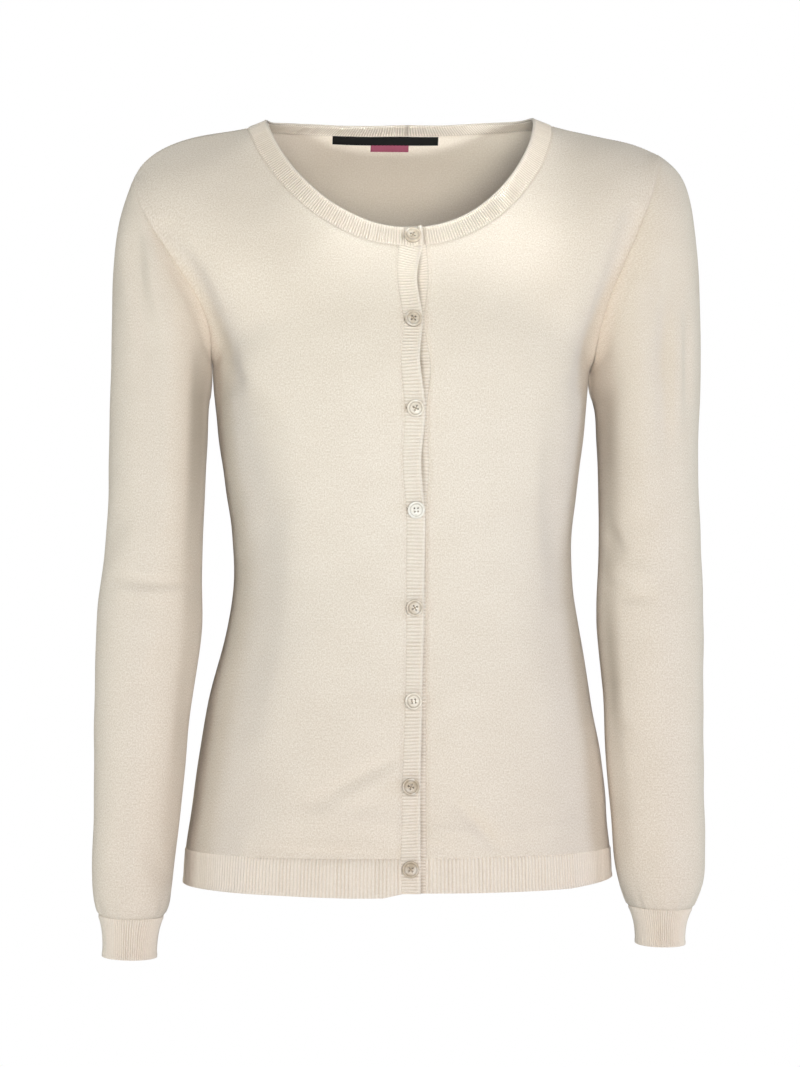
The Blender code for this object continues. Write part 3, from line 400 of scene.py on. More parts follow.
def front_rows(side_name):
    side, over = SIDES[side_name], side_name == "right"
    seam, lap = (OVER_SEAM, BAND_LAP) if over else (UNDER_SEAM, -BAND_UNDER)

    def edge(height):
        return front_centre(line_value(FRONT_EDGE, seam, height), height, lap)

    rows = []
    for height in body_levels(side_name):
        start, end = edge(height), side_point(side_name, height)
        rows.append(row_curve(start, end, Vector((side, 0, 0)), Vector((0, 1, 0)),
                              FULLNESS * abs(end.x - start.x), FULLNESS * abs(start.y),
                              PANEL_COLUMNS))
    neck_height = -NECK_SEAM[3]
    seam_x = abs(line_value(FRONT_EDGE, seam, neck_height))
    first_angle = math.degrees(math.asin(seam_x / NECK_SEAM[0]))
    plain_rows = ARMHOLE_ROWS - NECK_ROWS
    upper = []
    for row in range(1, ARMHOLE_ROWS + 1):
        share = row / ARMHOLE_ROWS
        end = armhole_point(side_name, 180 * (1 - share))
        if row < plain_rows:
            rise = (neck_height - UNDERARM[side_name]) * row / plain_rows
            start, away = edge(UNDERARM[side_name] + rise), NECK_AWAY
            dip = FRONT_ROW_DIP[row]
        else:
            angle = first_angle + (90 - first_angle) * (row - plain_rows) / NECK_ROWS
            start = neck_point(NECK_SEAM, side, angle)
            start.y -= lap * (1 - smooth_step(first_angle, LAP_FADE, angle))
            away = start - neck_point(NECK_EDGE, side, angle)
            dip = FRONT_ROW_DIP[-1] if row == plain_rows else NECK_ROW_DIP
        level = Vector((side, 0, 0)).lerp((end - start).normalized(), share)
        start_way = level * (1 - dip) + away.normalized() * dip
        upper.append(upper_row(start, end, start_way, armhole_way(side, -1, share),
                               FRONT_REACH, share, PANEL_COLUMNS))
    shoulder = [shoulder_point(side_name, c / PANEL_COLUMNS) for c in range(PANEL_COLUMNS + 1)]
    correct_towards(upper, shoulder, FRONT_REACH[4])
    rows += upper
    return relax(rows, len(rows) - ARMHOLE_ROWS - 2, len(rows) - NECK_ROWS - 1)


fronts = {name: front_rows(name) for name in SIDES}
print("points of a front:", fronts["right"].shape[:2])


# %% Rows of the back
def back_half(side_name):
    side, columns = SIDES[side_name], BACK_NECK_COLUMNS + PANEL_COLUMNS
    rows = []
    for height in body_levels(side_name):
        depth, end = line_value(CENTRE_LINE, 2, height), side_point(side_name, height)
        rows.append(row_curve(Vector((0, depth, height)), end, Vector((side, 0, 0)),
                              Vector((0, -1, 0)), FULLNESS * abs(end.x), FULLNESS * depth,
                              columns))
    top = [neck_point(NECK_SEAM, side, 180 - 90 * c / BACK_NECK_COLUMNS)
           for c in range(BACK_NECK_COLUMNS)]
    top += [shoulder_point(side_name, c / PANEL_COLUMNS) for c in range(PANEL_COLUMNS + 1)]
    centre_under = (UNDERARM["right"] + UNDERARM["left"]) / 2
    upper = []
    for row in range(1, ARMHOLE_ROWS + 1):
        share = row / ARMHOLE_ROWS
        height = centre_under + (-NECK_SEAM[5] - centre_under) * share
        start = Vector((0, line_value(CENTRE_LINE, 2, height), height))
        end = armhole_point(side_name, 180 + 180 * share)
        upper.append(upper_row(start, end, Vector((side, 0, 0)), armhole_way(side, 1, share),
                               BACK_REACH, share, columns))
    correct_towards(upper, top, BACK_REACH[4])
    return rows + upper


def back_rows():
    right, left = back_half("right"), back_half("left")
    rows = [list(reversed(one))[:-1] + [(one[0] + other[0]) / 2] + other[1:]
            for one, other in zip(right, left)]
    return relax(rows, len(rows) - ARMHOLE_ROWS - 2)


back = back_rows()
BACK_CENTRE = BACK_NECK_COLUMNS + PANEL_COLUMNS
print("points of the back:", back.shape[:2])


# %% Edges of the front bands and of the neckband
def band_rows(panel, over):
    """A front band: its free edge, and the seam that it shares with its front."""
    lap = BAND_LAP if over else -BAND_UNDER
    seam = [Vector(point) for point in hem_row(panel)[:len(panel) - NECK_ROWS + 1, 0]]
    free = []
    for point in seam:
        x = line_value(FRONT_EDGE, OVER_EDGE, point.z) if over else NECKBAND_UNDER_END
        free.append(front_centre(x, point.z, lap))
    free[-1].x = NECKBAND_OVER_END if over else NECKBAND_UNDER_END
    return table_of((free, seam))


def neckband_rows(bands):
    """The neckband's seam and its free edge, from its upper end round the neck."""
    seam = [Vector(bands["over"][0, -1])]
    edge = [front_centre(NECKBAND_OVER_END, -NECK_EDGE[3], BAND_LAP)]
    starts = {name: math.degrees(math.asin(abs(fronts[name][-NECK_ROWS - 1, 0, 0]) / NECK_SEAM[0]))
              for name in SIDES}

    def add(point, side, degrees, lap_start, lap):
        seam.append(Vector(point))
        rim = neck_point(NECK_EDGE, side, degrees)
        rim.y -= lap * (1 - smooth_step(lap_start, LAP_FADE, degrees))
        edge.append(rim)

    def add_front(name, order, lap):
        for index in order:
            degrees = starts[name] + (90 - starts[name]) * index / NECK_ROWS
            add(fronts[name][-NECK_ROWS - 1 + index, 0], SIDES[name], degrees, starts[name], lap)

    add_front("right", range(NECK_ROWS + 1), BAND_LAP)
    top = back[-1][PANEL_COLUMNS:-PANEL_COLUMNS]
    for index in range(1, len(top) - 1):
        side = -1.0 if index <= BACK_NECK_COLUMNS else 1.0
        degrees = 90 + 90 * (1 - abs(index - BACK_NECK_COLUMNS) / BACK_NECK_COLUMNS)
        add(top[index], side, degrees, 0, 0)
    add_front("left", range(NECK_ROWS, -1, -1), -BAND_UNDER)
    seam.append(Vector(bands["under"][0, -1]))
    edge.append(front_centre(NECKBAND_UNDER_END, -NECK_EDGE[3], -BAND_UNDER))
    return table_of((seam, edge))


band_lines = {"over": band_rows(fronts["right"], True), "under": band_rows(fronts["left"], False)}
neckband_lines = neckband_rows(band_lines)
print("points along the neckband:", neckband_lines.shape[1])

# %% [markdown]
# ## A smooth surface through the rows
# A knitted panel has thousands of stitches, and the rows have a few hundred points. A natural
# cubic spline is the curve that a thin strip takes when it is held at some points, so a spline
# in both directions gives cloth that is smooth everywhere. Where a seam turns a corner, such as
# at the underarm and at the top of a front band, the spline is cut in two at that point.


# %% Spline weights
def spline(knots, at, corners=(), closed=False):
    """For each place, the share that each knot's value has in a smooth curve through them."""
    knots, at = np.asarray(knots, float), np.asarray(at, float)
    if corners:
        total, stops = np.zeros((len(at), len(knots))), [0, *corners, len(knots) - 1]
        for first, last in zip(stops, stops[1:]):
            inside = (at >= knots[first] - 1e-12) & (at <= knots[last] + 1e-12)
            total[inside] = 0
            total[inside, first:last + 1] = spline(knots[first:last + 1], at[inside])
        return total
    gaps, count = np.diff(knots), len(knots) - (1 if closed else 0)
    stiff, pull = np.eye(count), np.zeros((count, count))
    for i in range(0 if closed else 1, count if closed else count - 1):
        before, after = gaps[i - 1], gaps[i]
        left, right = (i - 1) % count, (i + 1) % count
        stiff[i] = 0
        stiff[i, left], stiff[i, i], stiff[i, right] = before / 6, (before + after) / 3, after / 6
        pull[i, left], pull[i, i], pull[i, right] = 1 / before, -1 / before - 1 / after, 1 / after
    bend = np.linalg.solve(stiff, pull)
    cell = np.clip(np.searchsorted(knots, at, side="right") - 1, 0, len(knots) - 2)
    width = gaps[cell]
    b = (at - knots[cell]) / width
    a = 1 - b
    low, high, one = cell % count, (cell + 1) % count, np.eye(count)
    return (a[:, None] * one[low] + b[:, None] * one[high]
            + ((a ** 3 - a)[:, None] * bend[low] + (b ** 3 - b)[:, None] * bend[high])
            * (width ** 2 / 6)[:, None])


print("shares half-way between two of four points:", spline(range(4), [1.5]).round(3))

# %% The surface
NORMAL_STEP = 0.0004    # how far apart the points lie that a direction is measured from


class Form:
    """A smooth surface through rows of points. v runs up the rows and u along a row, in metres."""

    def __init__(self, rows, outward, closed=False, edge_corners=(), top_corners=(), creases=()):
        self.rows = table_of(rows)
        self.outward, self.closed = outward, closed
        self.edge_corners, self.top_corners, self.creases = edge_corners, top_corners, creases
        up = np.linalg.norm(np.diff(self.rows, axis=0), axis=2).mean(axis=1)
        ring = np.concatenate([self.rows, self.rows[:, :1]], axis=1) if closed else self.rows
        along = np.linalg.norm(np.diff(ring, axis=1), axis=2).mean(axis=0)
        self.v = np.concatenate([[0], np.cumsum(up)])
        self.u = np.concatenate([[0], np.cumsum(along)])

    def points(self, v, u, table=True):
        """Points at every v and u of a table, or at pairs of v and u."""
        v = np.clip(np.asarray(v, float), self.v[0], self.v[-1])
        u = np.asarray(u, float)
        u = u % self.u[-1] if self.closed else np.clip(u, self.u[0], self.u[-1])
        path = "vr,rcx,uc->vux" if table else "vr,rcx,vc->vx"

        def through(row_corners, column_corners):
            return np.einsum(path, spline(self.v, v, row_corners), self.rows,
                             spline(self.u, u, column_corners, self.closed), optimize=True)

        total = through(self.creases, ())
        for edge, corner in self.edge_corners:
            reach = abs(self.u[edge] - self.u[2 if edge == 0 else -3])
            near = 1 - smooth_step(0, 1, abs(u - self.u[edge]) / reach)
            share = near[None, :, None] if table else near[:, None]
            total = total + (through((corner,), ()) - total) * share
        if self.top_corners:
            near = 1 - smooth_step(0, 1, (self.v[-1] - v) / (self.v[-1] - self.v[-3]))
            share = near[:, None, None] if table else near[:, None]
            total = total + (through((), self.top_corners) - total) * share
        return total

    def surface(self, v, u, table=True):
        """Points and outward directions."""
        v, u, step = np.asarray(v, float), np.asarray(u, float), NORMAL_STEP
        up = self.points(v + step, u, table) - self.points(v - step, u, table)
        across = self.points(v, u + step, table) - self.points(v, u - step, table)
        normals = np.cross(across, up) * self.outward
        normals /= np.maximum(np.linalg.norm(normals, axis=-1, keepdims=True), 1e-12)
        return self.points(v, u, table), normals


print("directions are measured over", 2000 * NORMAL_STEP, "mm")

# %% A surface for every piece
NECK_CORNER = len(fronts["right"]) - NECK_ROWS
UNDERARM_ROW = len(fronts["right"]) - ARMHOLE_ROWS
FRONT_CORNERS = ((0, NECK_CORNER), (-1, UNDERARM_ROW))
forms = {
    "front_right": Form(hem_row(fronts["right"]), -1, False, FRONT_CORNERS),
    "front_left": Form(hem_row(fronts["left"]), 1, False, FRONT_CORNERS),
    "back": Form(hem_row(back), -1, False, ((0, UNDERARM_ROW), (-1, UNDERARM_ROW)),
                 (PANEL_COLUMNS, len(back[0]) - 1 - PANEL_COLUMNS)),
    "sleeve_right": Form(sleeve_rows("right"), 1, True, creases=(len(SLEEVE["right"]),)),
    "sleeve_left": Form(sleeve_rows("left"), -1, True, creases=(len(SLEEVE["left"]),)),
    "buttonhole_band": Form(band_lines["over"], 1),
    "button_band": Form(band_lines["under"], -1),
    "neckband": Form(neckband_lines, -1),
}
for name, form in forms.items():
    print(name, "about", round(1000 * form.u[-1]), "by", round(1000 * form.v[-1]), "mm")

# %% [markdown]
# ## Folds
# A fine knit that is filled out has few folds, and soft ones: a trough beside each armhole, where
# the sleeve pulls on the body, a roll above the hem's ribbing, drag lines from the lower buttons,
# creases at the elbows, and a faint line across the waist where it lay folded in a shop. Each is
# placed as a line with its own width and height, and the sides that are seldom seen
# get folds of the same kinds.

# %% Fold lines
# where, then for each fold its half width, its height, and its points (across, height)
FOLDS = {
    "all front": [
        (0.015, -0.0044, (-0.1785, -0.092), (-0.158, -0.128), (-0.139, -0.171), (-0.129, -0.2)),
        (0.015, -0.0042, (0.171, -0.078), (0.156, -0.128), (0.139, -0.178), (0.131, -0.2)),
        (0.012, -0.0036, (-0.198, -0.095), (-0.198, -0.125), (-0.19, -0.175)),
        (0.013, -0.0028, (0.205, -0.11), (0.19, -0.19)),
    ],
    "body front": [
        (0.017, 0.0026, (-0.138, -0.145), (-0.12, -0.18), (-0.1, -0.213)),
        (0.017, 0.0022, (0.128, -0.14), (0.114, -0.186), (0.099, -0.214)),
        (0.024, -0.003, (-0.114, -0.225), (-0.1035, -0.2975), (-0.111, -0.3726),
         (-0.125, -0.4515)),
        (0.015, -0.0024, (0.108, -0.232), (0.106, -0.29), (0.116, -0.36)),
        (0.01, -0.0046, (-0.112, -0.5435), (-0.068, -0.5438), (-0.034, -0.545), (-0.012, -0.5462)),
        (0.014, 0.003, (-0.092, -0.52), (-0.05, -0.5232), (-0.012, -0.524)),
        (0.009, -0.003, (-0.009, -0.4735), (-0.0364, -0.487), (-0.07, -0.508)),
        (0.01, 0.0018, (-0.01, -0.487), (-0.038, -0.501), (-0.06, -0.514)),
        (0.009, -0.0013, (-0.063, -0.43), (-0.051, -0.453)),
        (0.008, -0.0034, (0.033, -0.509), (0.0486, -0.5246), (0.061, -0.54)),
        (0.0085, 0.0026, (0.017, -0.529), (0.0426, -0.5325)),
        (0.0065, -0.0018, (0.013, -0.539), (0.031, -0.546)),
        (0.01, 0.0012, (0.056, -0.516), (0.076, -0.534)),
        (0.012, -0.0012, (0.07, -0.543), (0.125, -0.54)),
        (0.01, 0.0012, (0.066, -0.533), (0.12, -0.529)),
        (0.009, -0.001, (0.014, -0.462), (0.03, -0.448), (0.056, -0.44)),
        (0.0032, -0.00035, (-0.152, -0.2965), (0.0, -0.2975), (0.132, -0.3)),
        (0.018, -0.001, (-0.08, -0.33), (-0.045, -0.345)),
        (0.016, -0.0009, (0.038, -0.338), (0.078, -0.326)),
    ],
    "body back": [
        (0.021, -0.0028, (-0.166, -0.098), (-0.146, -0.15), (-0.126, -0.204)),
        (0.021, -0.0027, (0.164, -0.096), (0.145, -0.148), (0.124, -0.206)),
        (0.018, 0.0014, (-0.14, -0.128), (-0.116, -0.186)),
        (0.017, 0.0012, (0.137, -0.132), (0.112, -0.19)),
        (0.017, -0.0024, (-0.094, -0.349), (-0.02, -0.354), (0.088, -0.337)),
        (0.015, 0.0018, (-0.078, -0.374), (0.004, -0.379), (0.064, -0.368)),
        (0.013, -0.0016, (-0.062, -0.397), (0.05, -0.391)),
        (0.012, -0.0013, (0.118, -0.318), (0.078, -0.352)),
        (0.012, -0.0014, (-0.122, -0.312), (-0.084, -0.338)),
        (0.011, -0.0024, (-0.104, -0.5425), (-0.03, -0.545), (0.02, -0.544)),
        (0.015, 0.0018, (-0.09, -0.521), (-0.01, -0.5235)),
        (0.011, -0.0018, (0.046, -0.544), (0.118, -0.542)),
        (0.009, -0.0016, (0.06, -0.494), (0.084, -0.524)),
        (0.03, -0.0012, (0.014, -0.05), (0.01, -0.16)),
        (0.0032, -0.00035, (-0.12, -0.298), (0.125, -0.299)),
    ],
    "sleeve_right front": [
        (0.02, 0.0042, (-0.167, -0.145), (-0.1695, -0.195), (-0.171, -0.245), (-0.173, -0.312)),
        (0.011, -0.0016, (-0.154, -0.33), (-0.157, -0.4), (-0.162, -0.445), (-0.1665, -0.489),
         (-0.171, -0.533)),
        (0.0095, -0.0022, (-0.2017, -0.086), (-0.203, -0.1125), (-0.2, -0.14)),
        (0.018, 0.0012, (-0.182, -0.11), (-0.177, -0.176)),
        (0.007, -0.0024, (-0.214, -0.345), (-0.1937, -0.3491), (-0.165, -0.3478)),
        (0.0085, 0.0015, (-0.212, -0.3555), (-0.166, -0.3585)),
        (0.014, -0.0014, (-0.208, -0.29), (-0.216, -0.32)),
        (0.012, -0.0012, (-0.176, -0.398), (-0.192, -0.425)),
        (0.011, -0.0013, (-0.216, -0.56), (-0.205, -0.535)),
        (0.01, -0.0014, (-0.183, -0.564), (-0.19, -0.54)),
    ],
    "sleeve_left front": [
        (0.019, 0.0044, (0.167, -0.135), (0.17, -0.175), (0.171, -0.225), (0.17, -0.29)),
        (0.011, -0.0018, (0.15, -0.36), (0.151, -0.428), (0.1535, -0.472), (0.1565, -0.516),
         (0.1605, -0.553)),
        (0.007, -0.0026, (0.1933, -0.1406), (0.1925, -0.1927), (0.1933, -0.2488)),
        (0.0075, 0.0022, (0.2041, -0.1526), (0.2033, -0.2328)),
        (0.0065, -0.002, (0.2113, -0.1446), (0.2113, -0.2168)),
        (0.008, -0.0032, (0.152, -0.306), (0.16, -0.326)),
        (0.008, -0.0028, (0.1515, -0.35), (0.165, -0.3595), (0.18, -0.36)),
        (0.009, 0.0014, (0.16, -0.34), (0.185, -0.344)),
        (0.008, -0.0016, (0.157, -0.4534), (0.166, -0.466)),
        (0.011, -0.0012, (0.215, -0.39), (0.202, -0.418)),
        (0.011, -0.0013, (0.212, -0.556), (0.202, -0.53)),
        (0.01, -0.0013, (0.176, -0.56), (0.184, -0.535)),
    ],
    "sleeve_right back": [
        (0.012, -0.0026, (-0.152, -0.22), (-0.153, -0.29), (-0.156, -0.35)),
        (0.009, -0.0026, (-0.212, -0.318), (-0.196, -0.329), (-0.164, -0.327)),
        (0.011, 0.0018, (-0.21, -0.334), (-0.17, -0.342)),
        (0.008, -0.0022, (-0.214, -0.348), (-0.188, -0.356)),
        (0.015, -0.0015, (-0.19, -0.13), (-0.182, -0.2)),
        (0.011, -0.0013, (-0.215, -0.558), (-0.202, -0.53)),
    ],
    "sleeve_left back": [
        (0.012, -0.0024, (0.153, -0.225), (0.152, -0.3), (0.151, -0.37)),
        (0.009, -0.0025, (0.209, -0.323), (0.19, -0.332), (0.16, -0.329)),
        (0.011, 0.0017, (0.206, -0.34), (0.168, -0.345)),
        (0.008, -0.002, (0.21, -0.356), (0.184, -0.361)),
        (0.015, -0.0014, (0.194, -0.14), (0.185, -0.208)),
        (0.011, -0.0013, (0.18, -0.552), (0.192, -0.528)),
    ],
}
print("folds placed by hand:", sum(len(folds) for folds in FOLDS.values()))


# %% The shape of a fold
def beside_line(here, stops):
    """How far each place lies from a line through the stops, and its share of the way along."""
    stops = np.array(stops)
    lengths = np.linalg.norm(np.diff(stops, axis=0), axis=1)
    best, travelled, run = np.full(here.shape[:-1], np.inf), np.zeros(here.shape[:-1]), 0.0
    for start, end, length in zip(stops, stops[1:], lengths):
        t = np.clip(((here - start) @ (end - start)) / length ** 2, 0, 1)
        away = np.linalg.norm(here - start - t[..., None] * (end - start), axis=-1)
        nearer = away < best
        best[nearer] = away[nearer]
        travelled[nearer] = (run + t * length)[nearer]
        run += length
    return best, travelled / run


def fold_height(points, normals, group):
    """How far the folds move each point out, or in where it is negative."""
    total = np.zeros(points.shape[:-1])
    for place, folds in FOLDS.items():
        owner, face = place.split()
        if owner not in ("all", group):
            continue
        toward = -normals[..., 1] if face == "front" else normals[..., 1]
        facing = smooth_step(0.02, 0.45, toward)
        for half_width, height, *stops in folds:
            away, share = beside_line(points[..., [0, 2]], stops)
            taper = 0.55 + 0.45 * np.sin(math.pi * np.clip(share, 0.02, 0.98))
            shape = np.clip(1 - (away / half_width) ** 2, 0, 1) ** 2
            total += height * shape * taper * facing
    return total


heights = [abs(fold[1]) for folds in FOLDS.values() for fold in folds]
print("deepest fold in mm:", 1000 * max(heights))

# %% [markdown]
# Between the folds a knit is never quite even. A few long waves of different lengths, no two of
# them in step, give the slow unevenness of cloth that holds itself up. They are sums of sines
# of the point's own place, so that pieces that meet at a seam move together.

# %% Slow unevenness
WAVES = [  # directions of the waves per metre, and height
    ((61, 23, 37), 0.00030), ((-29, 71, 53), 0.00026), ((97, -41, -67), 0.00018),
    ((-113, 59, 131), 0.00012), ((173, 101, -149), 0.00007),
]


def unevenness(points):
    total = np.zeros(points.shape[:-1])
    for number, (way, height) in enumerate(WAVES):
        total += height * np.sin(points @ np.array(way, float) + 1.7 * number)
    return total


print("unevenness at most, in mm:", round(1000 * sum(height for _, height in WAVES), 2))

# %% [markdown]
# ## Where two pieces meet
# Two pieces meet at a seam at a slight angle, so each would move a fold its own way and the seam
# would open. So along every seam both use one direction, the mean of the two, and within a
# centimetre of it each turns gradually back to its own.

# %% Shared directions at the seams
SEAM_REACH, SEAM_NEAR, SEAM_STEP = 0.010, 0.0016, 0.0015


def edge_samples(form):
    """Points and normals along all open edges of a form."""
    v_line, u_line = (np.arange(0, way[-1], SEAM_STEP) for way in (form.v, form.u))
    lines = [(np.zeros_like(u_line), u_line)]
    if not form.closed:
        lines += [(np.full_like(u_line, form.v[-1]), u_line), (v_line, np.zeros_like(v_line)),
                  (v_line, np.full_like(v_line, form.u[-1]))]
    found = [form.surface(v, u, table=False) for v, u in lines]
    return np.concatenate([f[0] for f in found]), np.concatenate([f[1] for f in found])


def tree_of(points):
    tree = KDTree(len(points))
    for index, point in enumerate(points):
        tree.insert(point, index)
    tree.balance()
    return tree


def seam_directions():
    samples = {name: edge_samples(form) for name, form in forms.items()}
    trees = {name: tree_of(points) for name, (points, _) in samples.items()}
    places, means = [], []
    for name, (points, normals) in samples.items():
        for point, normal in zip(points, normals):
            mean = normal.copy()
            for other, tree in trees.items():
                if other != name:
                    _, index, distance = tree.find(point)
                    if distance < SEAM_NEAR:
                        mean = mean + samples[other][1][index]
            places.append(point)
            means.append(mean / np.linalg.norm(mean))
    return tree_of(places), np.array(means)


SEAM_TREE, SEAM_NORMALS = seam_directions()


def shared(points, normals):
    """The normals, turned to the seam's own direction near a seam."""
    flat = points.reshape(-1, 3)
    found = [SEAM_TREE.find(point)[1:] for point in flat]
    nearest = np.array([index for index, _ in found])
    distance = np.array([distance for _, distance in found])
    own = smooth_step(0.0, SEAM_REACH, distance)[:, None]
    mixed = normals.reshape(-1, 3) * own + SEAM_NORMALS[nearest] * (1 - own)
    mixed /= np.linalg.norm(mixed, axis=1, keepdims=True)
    return mixed.reshape(points.shape)


print("places along the seams:", len(SEAM_NORMALS))

# %% [markdown]
# ## Laying a cut of cloth
# Cloth starts flat. Each cut is a grid primitive, fine enough to bend as the knit does, and every
# point of it is moved to its place on the form, a little out or in as its relief says. The grid
# keeps a UV map in metres of knitting, so the stitches in the material follow the cloth.
# Solidify then gives it the thickness of the yarn, inwards, and a closed edge.


# %% Choosing a piece, and its wall
def deselect():
    if bpy.context.object and bpy.context.object.mode != "OBJECT":
        bpy.ops.object.mode_set(mode="OBJECT")
    bpy.ops.object.select_all(action="DESELECT")


def activate(thing):
    deselect()
    thing.select_set(True)
    bpy.context.view_layer.objects.active = thing


def paint(mesh, name, values):
    """Keeps a value, or a direction, at every point of a mesh."""
    kind, field = ("FLOAT_VECTOR", "vector") if values.ndim == 2 else ("FLOAT", "value")
    mesh.attributes.new(name, kind, "POINT").data.foreach_set(field, values.ravel())


SMOOTH_BELOW = 70


def thicken(cloth, wall):
    """Gives a laid cut its wall, straight inwards from the form, so that ribs keep their shape."""
    activate(cloth)
    solid = cloth.modifiers.new("wall", "SOLIDIFY")
    solid.thickness, solid.offset = wall, -1
    bpy.ops.object.modifier_apply(modifier=solid.name)
    mesh = cloth.data
    count = len(mesh.vertices) // 2
    places, outs = np.zeros(6 * count), np.zeros(6 * count)
    mesh.vertices.foreach_get("co", places)
    mesh.attributes["out"].data.foreach_get("vector", outs)
    places, outs = places.reshape(-1, 3), outs.reshape(-1, 3)
    places[count:] = places[:count] - wall * outs[:count]
    mesh.vertices.foreach_set("co", places.ravel())
    mesh.attributes.remove(mesh.attributes["out"])
    paint(mesh, "inner", np.repeat((0.0, 1.0), count))
    bpy.ops.object.shade_smooth_by_angle(angle=math.radians(SMOOTH_BELOW))


print("smooth where faces turn less than", SMOOTH_BELOW, "degrees")

# %% Seam allowance
ALLOWANCE, ALLOWANCE_SINK = 0.0011, 0.0010
EDGES = {"foot": (0, 0), "head": (0, -1), "start": (1, 0), "end": (1, -1)}


def with_allowance(tables, edge):
    """One more row or column past an edge. The first two tables are the places and normals."""
    axis, last = EDGES[edge]
    places, normals = tables[:2]
    rim, before = np.take(places, [last], axis), np.take(places, [1 if last == 0 else -2], axis)
    way = rim - before
    way /= np.maximum(np.linalg.norm(way, axis=-1, keepdims=True), 1e-9)
    beyond = [rim + way * ALLOWANCE - np.take(normals, [last], axis) * ALLOWANCE_SINK]
    beyond += [np.take(table, [last], axis) for table in tables[1:]]
    return [np.concatenate([extra, table] if last == 0 else [table, extra], axis)
            for table, extra in zip(tables, beyond)]


print("allowance in mm:", 1000 * ALLOWANCE)

# %% Places of one cut of cloth
def cut_tables(form, v_line, u_line, relief, stitches, drop, shade):
    """Places, normals, distances across and along the knitting, and shade, as tables."""
    if np.ndim(u_line) == 2:
        v, u = v_line, u_line
        points, normals = (found.reshape(*v.shape, 3)
                           for found in form.surface(v.ravel(), u.ravel(), table=False))
    else:
        points, normals = form.surface(v_line, u_line)
        v, u = np.meshgrid(v_line, u_line, indexing="ij")
    across, along = stitches(points, normals, v, u)
    normals = shared(points, normals)
    placed = points + normals * relief(points, normals, v, u)[..., None]
    if drop:
        placed[..., 2] -= drop(points, v)
    shadow = shade(points, normals, v, u) if shade else np.zeros(v.shape)
    return [placed, normals, across, along, shadow]


def steps(start, end, size):
    """Even places from start to end, about a size apart."""
    return np.linspace(start, end, max(2, round(abs(end - start) / size) + 1))


print("places over 30 mm in steps of 3 mm:", len(steps(0, 0.030, 0.003)))


# %% One cut of cloth
def flat_grid(name, rows, columns):
    """A flat grid, with the row and the column of each of its points."""
    deselect()
    bpy.ops.mesh.primitive_grid_add(x_subdivisions=columns - 1, y_subdivisions=rows - 1, size=1,
                                    calc_uvs=True)
    cloth = bpy.context.object
    cloth.name = cloth.data.name = name
    flat = np.zeros(len(cloth.data.vertices) * 3)
    cloth.data.vertices.foreach_get("co", flat)
    flat = flat.reshape(-1, 3)
    column = np.rint((flat[:, 0] + 0.5) * (columns - 1)).astype(int)
    row = np.rint((flat[:, 1] + 0.5) * (rows - 1)).astype(int)
    return cloth, row, column


def lay(name, form, v_line, u_line, relief, wall, stitches, inside=False, drop=None, tuck=(),
        shade=None):
    """One cut of cloth on a form. relief, stitches and shade are given points, normals, v, u."""
    tables = cut_tables(form, v_line, u_line, relief, stitches, drop, shade)
    for edge in tuck:
        tables = with_allowance(tables, edge)
    placed, normals, across, along, shadow = tables
    cloth, row, column = flat_grid(name, *across.shape)
    cloth.data.vertices.foreach_set("co", placed[row, column].ravel())
    paint(cloth.data, "out", (-normals if inside else normals)[row, column])
    paint(cloth.data, "painted_shade", shadow[row, column])
    corner = np.zeros(len(cloth.data.loops), int)
    cloth.data.loops.foreach_get("vertex_index", corner)
    knit = np.stack([across[row[corner], column[corner]], along[row[corner], column[corner]]], 1)
    cloth.data.uv_layers[0].name = "knit"
    cloth.data.uv_layers[0].data.foreach_set("uv", knit.ravel())
    bpy.ops.object.mode_set(mode="EDIT")
    bpy.ops.mesh.select_all(action="SELECT")
    if form.closed:
        bpy.ops.mesh.remove_doubles(threshold=0.00002)
    if (form.outward < 0) != inside:
        bpy.ops.mesh.flip_normals()
    bpy.ops.object.mode_set(mode="OBJECT")
    thicken(cloth, wall)
    return cloth


CLOTH = {}


def dressed(cloth, node, material):
    """The piece takes its material and stands for its solid."""
    CLOTH[node] = cloth
    cloth.data.materials.clear()
    cloth.data.materials.append(material)
    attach(cloth, "root")
    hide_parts(node)
    triangles = sum(len(face.vertices) - 2 for face in cloth.data.polygons)
    print(cloth.name, triangles, "triangles")


print("ready to lay cloth")
